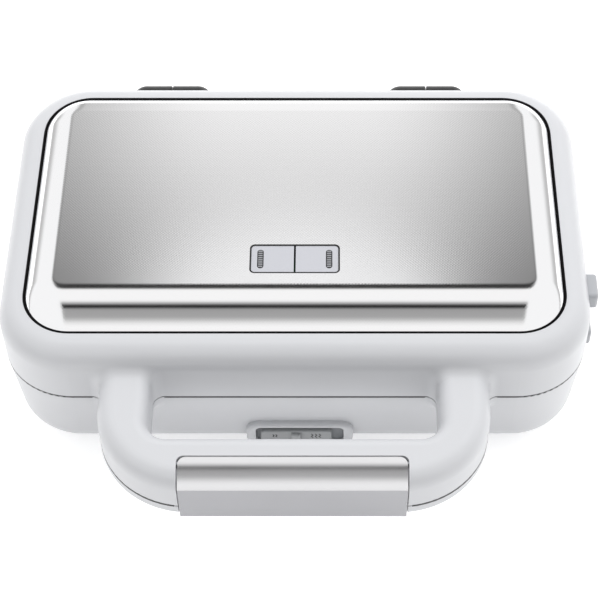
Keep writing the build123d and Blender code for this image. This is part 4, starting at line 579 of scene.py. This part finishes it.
def steel(name, code, roughness, grain_mm, grain_depth):
    """Sheet metal with a fine grain and a slow drift of its gloss."""
    material, tree, shader, where = surface(name, metallic=1.0, base_color=linear(code), roughness=roughness)
    haze = add_node(tree, "ShaderNodeTexNoise", {
        "Vector": where, "Scale": PER_METRE / HAZE_MM, "Detail": 1.0})
    gloss = add_node(tree, "ShaderNodeMapRange", {
        "Value": haze.outputs["Fac"], "From Min": HAZE_LOW, "From Max": HAZE_HIGH,
        "To Min": roughness * (1.0 - HAZE_SHARE), "To Max": roughness * (1.0 + HAZE_SHARE)})
    tree.links.new(gloss.outputs["Result"], shader.inputs["Roughness"])
    grain = add_node(tree, "ShaderNodeTexNoise", {
        "Vector": where, "Scale": PER_METRE / grain_mm, "Detail": 2.0})
    bump = add_node(tree, "ShaderNodeBump", {
        "Height": grain.outputs["Fac"], "Strength": GRAIN_STRENGTH, "Distance": grain_depth * MM})
    tree.links.new(bump.outputs["Normal"], shader.inputs["Normal"])
    return material, tree, shader, where, bump


# Name, colour, roughness, grain in mm, depth of the grain in mm.
linen_steel, tree, shader, where, grain_bump = steel(
    "linen_embossed_stainless_steel", "ebebec", 0.09, 0.5, 0.001)
ridges = []
for quarter in (45.0, -45.0):
    turned = add_node(tree, "ShaderNodeMapping", {
        "Vector": where, "Rotation": (0.0, 0.0, math.radians(quarter)),
        "Scale": (PER_METRE / LINEN_PITCH_MM / WAVE_RATE * math.pi * 2.0,) * 3})
    ridges.append(add_node(tree, "ShaderNodeTexWave", {"Vector": turned.outputs["Vector"], "Scale": 1.0},
                           wave_type="BANDS", bands_direction="X").outputs["Fac"])
linen = add_node(tree, "ShaderNodeMath", {0: ridges[0], 1: ridges[1]}, operation="MULTIPLY")
emboss = add_node(tree, "ShaderNodeBump", {
    "Height": linen.outputs["Value"], "Strength": 1.0, "Distance": LINEN_DEPTH_MM * MM,
    "Normal": grain_bump.outputs["Normal"]})
tree.links.new(emboss.outputs["Normal"], shader.inputs["Normal"])

finish_piece(panel, linen_steel, angle=20.0)
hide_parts("lid_panel")
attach(panel, "lid")

# %% [markdown]
# ## The remaining metals
#
# The latch clip is stainless sheet, brushed finely over its top and again with a coarser belt
# down its front, which leaves the front rougher; the front's darker grey is painted shade.
# Screws and pins are bright zinc, springs are oiled wire, the reflectors are bright rolled
# aluminium and the heating elements are steel tube that heat has turned brown. Grain finer
# than 0.3 mm is drawn at 0.3 to 0.8 mm.

# %% Small metals
# Name, colour, roughness, grain in mm, depth of the grain in mm.
clip_steel, *_ = steel("brushed_latch_steel", "e4e4e6", 0.20, 0.5, 0.004)
clip_satin_shaded, *_ = steel("satin_latch_front_shaded", "9e9ea1", 0.42, 0.5, 0.010)
zinc, *_ = steel("bright_zinc_plating", "c2c4c8", 0.30, 0.4, 0.01)
spring_wire, *_ = steel("oiled_spring_wire", "8b8c8e", 0.35, 0.3, 0.01)
reflector_sheet, *_ = steel("bright_rolled_aluminium", "d4d5d6", 0.22, 0.8, 0.01)
element_tube, *_ = steel("heat_browned_steel_tube", "7a6f66", 0.42, 0.4, 0.02)
finish_nodes({
    clip_steel: ("latch_clip",),
    zinc: ("base_frame_screws", "lid_frame_screws", "handle_cover_screws", "cover_screws",
           "base_hinge_screws", "lid_hinge_screws", "left_hinge_pin", "right_hinge_pin", "latch_pin",
           "lower_element_clamps", "upper_element_clamps"),
    spring_wire: ("lower_release_spring", "upper_release_spring", "latch_spring", "latch_keeper"),
    reflector_sheet: ("lower_reflector", "upper_reflector"),
    element_tube: ("lower_heating_element", "upper_heating_element"),
})

# %% [markdown]
# ## The gasket
#
# A black silicone cord lies in the narrow gap between the rolled rim and the white housing. From
# above only a fine black line of it shows. A rounded plate is raised to the cord's shoulder,
# and four insets carry the ring up to its top and down again to the panel's rim, which makes
# the top round. The cord is a little wider at the back, where the roll would hide it.

# %% Gasket cord
CORD_OUTSIDE = 1.05
CORD_BACK = 1.6
CORD_LOW, CORD_SHOULDER, CORD_TOP = 85.6, 88.03, 88.4
# Each step of the round top is a share of half the cord's width and a share of its rise.
CORD_STEPS = ((0.35, 0.7), (0.65, 0.3), (0.65, -0.3), (0.35, -0.7))

cord = new_plate("gasket_cord", PANEL_WIDTH + 2.0 * CORD_OUTSIDE,
                 PANEL_DEPTH + 2.0 * CORD_OUTSIDE + CORD_BACK, PANEL_CORNER + CORD_OUTSIDE,
                 0.0, CORD_BACK / 2.0, CORD_LOW, PANEL_SEGMENTS)
extrude(z=CORD_SHOULDER - CORD_LOW)
cord_half = CORD_OUTSIDE / 2.0
for number, (share, rise) in enumerate(CORD_STEPS):
    if number == len(CORD_STEPS) // 2:
        inner_depth = PANEL_DEPTH + CORD_BACK + CORD_OUTSIDE
        bpy.ops.transform.resize(value=(1.0, 1.0 - CORD_BACK / inner_depth, 1.0),
                                 center_override=place(0.0, -PANEL_DEPTH / 2.0, 0.0))
    bpy.ops.mesh.inset(thickness=cord_half * share * MM, depth=(CORD_TOP - CORD_SHOULDER) * rise * MM)
bpy.ops.mesh.delete(type="ONLY_FACE")
normals_out()

# %% [markdown]
# ## The latch clip
#
# The clip is one strip of brushed stainless sheet. Its top arches gently forwards from the pin
# and then folds sharply down over the front of the handle. It could be extruded from a side
# profile, but then its rounded corners would have to be cut afterwards. Drawing the flat blank
# with its corners first, and rolling it over the profile, is how the press makes it.

# %% The clip, from a flat blank
CLIP_WIDTH = 111.0
CLIP_BACK = -145.5
CLIP_FACE = -160.5
CLIP_TOP = 76.5
CLIP_END = 45.6
CLIP_SHEET = 1.6
CLIP_CORNER = 4.0
CLIP_CUTS = 30
CLIP_TILTS = (math.radians(5.5), math.radians(41.0))
CLIP_SPARE = 8.0
CLIP_SEGMENTS = 8
CLIP_EDGE = 0.2
CLIP_EDGE_ANGLE = 60.0
ARCH_SLACK = 0.001
SHADED_FACES_FRONT = -0.95

arch = [(0.0, CLIP_BACK, CLIP_TOP)]
for cut in range(CLIP_CUTS):
    tilt = CLIP_TILTS[0] + (CLIP_TILTS[1] - CLIP_TILTS[0]) * (cut + 0.5) / CLIP_CUTS
    run = (CLIP_BACK - CLIP_FACE) / CLIP_CUTS
    length, y, z = arch[-1]
    arch.append((length + run / math.cos(tilt), y - run, z - run * math.tan(tilt)))
fold_length, fold_y, fold_z = arch[-1]
blank_length = fold_length + fold_z - CLIP_END
clip = new_plate("bent_latch_clip", CLIP_WIDTH, blank_length + CLIP_SPARE, CLIP_CORNER,
                 0.0, CLIP_BACK - (blank_length + CLIP_SPARE) / 2.0, 0.0, CLIP_SEGMENTS)
for length in [step[0] for step in arch[1:]] + [blank_length]:
    bpy.ops.mesh.select_all(action="SELECT")
    bpy.ops.mesh.bisect(plane_co=place(0.0, CLIP_BACK - length, 0.0), plane_no=(0.0, 1.0, 0.0))
blank_end = place(0.0, CLIP_BACK - blank_length, 0.0).y - HAIR_M
pick(clip, "FACE", lambda spot, normal: spot.y < blank_end)
bpy.ops.mesh.delete(type="FACE")
blank = bmesh.from_edit_mesh(clip.data)
for vertex in blank.verts:
    length = CLIP_BACK - (vertex.co.y / MM - SHIFT.y)
    if length > fold_length:
        y, z = fold_y, fold_z - (length - fold_length)
    else:
        before = max(step for step in arch if step[0] <= length + ARCH_SLACK)
        after = arch[min(arch.index(before) + 1, CLIP_CUTS)]
        part = (length - before[0]) / max(after[0] - before[0], ARCH_SLACK)
        y, z = before[1] + (after[1] - before[1]) * part, before[2] + (after[2] - before[2]) * part
    vertex.co = place(vertex.co.x / MM - SHIFT.x, y, z)
bmesh.update_edit_mesh(clip.data)
normals_out()
bpy.ops.object.mode_set(mode="OBJECT")
add_thickness(clip, CLIP_SHEET)
edges = clip.modifiers.new("edges", "BEVEL")
edges.width = CLIP_EDGE * MM
edges.segments = 2
edges.limit_method = "ANGLE"
edges.angle_limit = math.radians(CLIP_EDGE_ANGLE)
apply_modifiers(clip)
finish_piece(clip, clip_steel, angle=12.0)
# The faces that look straight forward get a darker copy of the steel: rougher from the belt, and darker as
# painted shade.
clip.data.materials.append(clip_satin_shaded)
for face in clip.data.polygons:
    if face.normal.y < SHADED_FACES_FRONT and face.center.z < place(0.0, 0.0, fold_z).z:
        face.material_index = 1
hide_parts("latch_clip")
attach(clip, "latch")

# %% [markdown]
# ## Rubber, coating, ceramic and wire
#
# The cooking plates are die-cast aluminium with a sprayed non-stick coat: near black with a
# slight sparkle and the soft texture of the blasted casting. The gasket and the cord's bush
# are moulded silicone and the feet are rubber, all dull and dark. Silicone's real index is
# about 1.4; the gasket has a lower one, which keeps its thin line as black as the photograph
# has it. The rest sits inside: a green circuit board, an unglazed ceramic thermostat and fuse,
# and glass-fibre sleeving on the wires.

# %% The last finishes
# Name, colour, roughness, grain in mm, depth of the grain in mm.
black_silicone = moulded("black_silicone_gasket", "0c0c0d", 0.80, 0.8, 0.03, shade=0.15, ior=1.20)
foot_rubber = moulded("dark_grey_foot_rubber", "3a3b3c", 0.70, 0.6, 0.06, shade=0.15, ior=1.52)
plate_coat = moulded("sprayed_non_stick_coat", "2a2a2c", 0.42, 0.5, 0.08, shade=0.2, ior=1.38)
board_green = moulded("solder_resist_green", "1f6b3a", 0.35, 0.5, 0.02, shade=0.2)
ceramic = moulded("unglazed_steatite_ceramic", "e6dfd0", 0.65, 0.4, 0.04, shade=0.08, ior=1.6)
sleeve = moulded("glass_fibre_sleeve", "d9d3c4", 0.60, 0.5, 0.1, shade=0.12)
finish_nodes({
    black_silicone: ("panel_gasket", "cord_gland"),
    foot_rubber: ("rubber_feet",),
    plate_coat: ("lower_cooking_plate", "upper_cooking_plate"),
    board_green: ("indicator_board",),
    ceramic: ("thermostat", "thermal_fuse"),
    sleeve: ("base_wiring", "lid_wiring"),
})
finish_piece(cord, black_silicone, angle=60.0)
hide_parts("panel_gasket")
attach(cord, "lid")
bare = [name for name, node in nodes.items()
        if not node.data.materials or not node.data.materials[0].use_nodes]
print("nodes with no finish of their own:", bare)

# %% [markdown]
# ## Strips of painted shade in the seams
#
# Lid and base don't touch: the seam between them stays open by under a millimetre, and the
# shade inside it shows as a thin dark line. A thin strip in the black of the plate frames
# paints that shade. The real toaster has no such strip. On the body it stands flush with the
# wall, on the handle a little proud of it. It is the outline as a flat plate, inset once: the
# ring outside the inset is kept and given its height. On the handle only what lies in front of
# the body is kept, without the stretch that the latch clip covers.

# %% Seam strips of painted shade
# Low edge, high edge and distance inside the outline, in mm.
BODY_SHADE_STRIP = (52.95, 54.35, 0.005)
HANDLE_SHADE_STRIP = (53.3, 54.7, -0.08)
STRIP_WIDTH = 1.4
STRIP_SEGMENTS = 16
STRIP_GAP = 58.0
HANDLE_WIDTH = 195.0
HANDLE_OUTLINE_DEPTH = 160.0
HANDLE_OUTLINE_MIDDLE = -80.0
HANDLE_CORNER = 46.0
HANDLE_FAR = -94.0
CLIP_COVERS = -150.0
handle_limit = place(0.0, HANDLE_FAR, 0.0)
clip_limit = place(STRIP_GAP, CLIP_COVERS, 0.0)


def seam_shade_strip(name, width, depth, corner, y, levels, keep=None):
    """A thin ring from low to high along an outline; keep drops the faces whose middle fails it."""
    low, high, inside = levels
    ring = new_plate(name, width - 2.0 * inside, depth - 2.0 * inside, corner - inside, 0.0, y, low,
                     STRIP_SEGMENTS)
    bpy.ops.mesh.inset(thickness=STRIP_WIDTH * MM)
    bpy.ops.mesh.delete(type="FACE")
    if keep:
        for x in (-STRIP_GAP, STRIP_GAP):
            bpy.ops.mesh.select_all(action="SELECT")
            bpy.ops.mesh.bisect(plane_co=place(x, 0.0, 0.0), plane_no=(1.0, 0.0, 0.0))
        pick(ring, "FACE", lambda spot, normal: not keep(spot))
        bpy.ops.mesh.delete(type="FACE")
    bpy.ops.mesh.select_all(action="SELECT")
    extrude(z=high - low)
    normals_out()
    # Black plastic as painted shade, where the open seam holds only shadow.
    finish_piece(ring, black_nylon)
    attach(ring, "base")


def handle_shows(spot):
    """Whether a place lies in front of the body and beside the latch clip."""
    behind_clip = spot.y < clip_limit.y and abs(spot.x - SHIFT.x * MM) < STRIP_GAP * MM
    return spot.y < handle_limit.y and not behind_clip


seam_shade_strip("body_seam_shade_strip", BODY_WIDTH, BODY_DEPTH, BODY_CORNER, BODY_MIDDLE_Y, BODY_SHADE_STRIP)
seam_shade_strip("handle_seam_shade_strip", HANDLE_WIDTH, HANDLE_OUTLINE_DEPTH, HANDLE_CORNER, HANDLE_OUTLINE_MIDDLE,
      HANDLE_SHADE_STRIP, handle_shows)

# %% [markdown]
# ## Heat marks on the slider
#
# The slider carries two pad-printed marks for its ends: two small waves of rising heat on the
# left and three larger ones on the right. The ink is near black and matt. It is drawn 0.06 mm
# high, thicker than real ink, so that it stays clear of the face. Each wave is a narrow grid
# whose points are pushed sideways along a sine, then thickened.

# %% Heat marks
MARK_FACE = -97.15
MARK_MIDDLE_Z = 20.4
WAVE_STEPS = 10
WAVE_WIDTH = 0.6
WAVE_SWING = 0.22
WAVE_BENDS = 3.0
INK = 0.06
mark_ink = moulded("dark_printed_ink", "161617", 0.60, 0.4, 0.01, shade=0.05, ior=1.5)


def heat_mark(name, x, count, height, pitch):
    """A row of upright waves on the slider's face."""
    waves = []
    for number in range(count):
        fresh_start()
        bpy.ops.mesh.primitive_grid_add(x_subdivisions=1, y_subdivisions=WAVE_STEPS, size=1.0)
        wave = bpy.context.active_object
        for vertex in wave.data.vertices:
            across, up = vertex.co.x * WAVE_WIDTH, vertex.co.y * height
            swing = WAVE_SWING * height * math.sin(vertex.co.y * math.pi * WAVE_BENDS)
            vertex.co = place(x + (number - (count - 1) / 2.0) * pitch + across + swing / 2.0, MARK_FACE,
                              MARK_MIDDLE_Z + up)
        waves.append(wave)
    fresh_start()
    for wave in waves:
        wave.select_set(True)
    bpy.context.view_layer.objects.active = waves[0]
    bpy.ops.object.join()
    mark = waves[0]
    mark.name = name
    bpy.ops.object.mode_set(mode="EDIT")
    bpy.ops.mesh.select_all(action="SELECT")
    extrude(y=-INK)
    normals_out()
    finish_piece(mark, mark_ink)
    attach(mark, "selector")


heat_mark("low_heat_mark", x=-10.9, count=2, height=2.4, pitch=1.5)
heat_mark("high_heat_mark", x=10.6, count=3, height=3.6, pitch=2.0)

# %% [markdown]
# ## Ribs on the lamps' lenses
#
# The two lenses of the indicator are slots of smoked resin with fine cross ribs, which spread
# the light of the lamp behind. One rib is modelled and copied along each slot.

# %% Lens ribs
RIB_COUNT = 8
RIB_PITCH = 1.4
RIB_WIDTH = 2.2
RIB_DEPTH = 0.8
RIB_CORNER = 0.2
RIB_SEGMENTS = 2
RIB_LOW, RIB_HIGH = 96.6, 96.95
LENS_X = 17.5

for side, name in ((-1.0, "power_lens_ribs"), (1.0, "ready_lens_ribs")):
    start = INDICATOR_Y - RIB_PITCH * (RIB_COUNT - 1) / 2.0
    ribs = new_plate(name, RIB_WIDTH, RIB_DEPTH, RIB_CORNER, side * LENS_X, start, RIB_LOW, RIB_SEGMENTS)
    extrude(z=RIB_HIGH - RIB_LOW)
    for _ in range(RIB_COUNT - 1):
        bpy.ops.mesh.select_linked()
        bpy.ops.mesh.duplicate_move(TRANSFORM_OT_translate={"value": (0.0, RIB_PITCH * MM, 0.0)})
    normals_out()
    finish_piece(ribs, rib_resin_highlight)
    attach(ribs, "lid")

# %% [markdown]
# ## Springs with meshes of their own
#
# Behind each release button a wire spring is caught between the button's slide and the
# housing. A rigid copy of it would stick into the slide once the button is pressed. Each
# spring here only gets a mesh of its own.

for side in ("lower", "upper"):
    spring = nodes[side + "_release_spring"]
    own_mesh(spring)
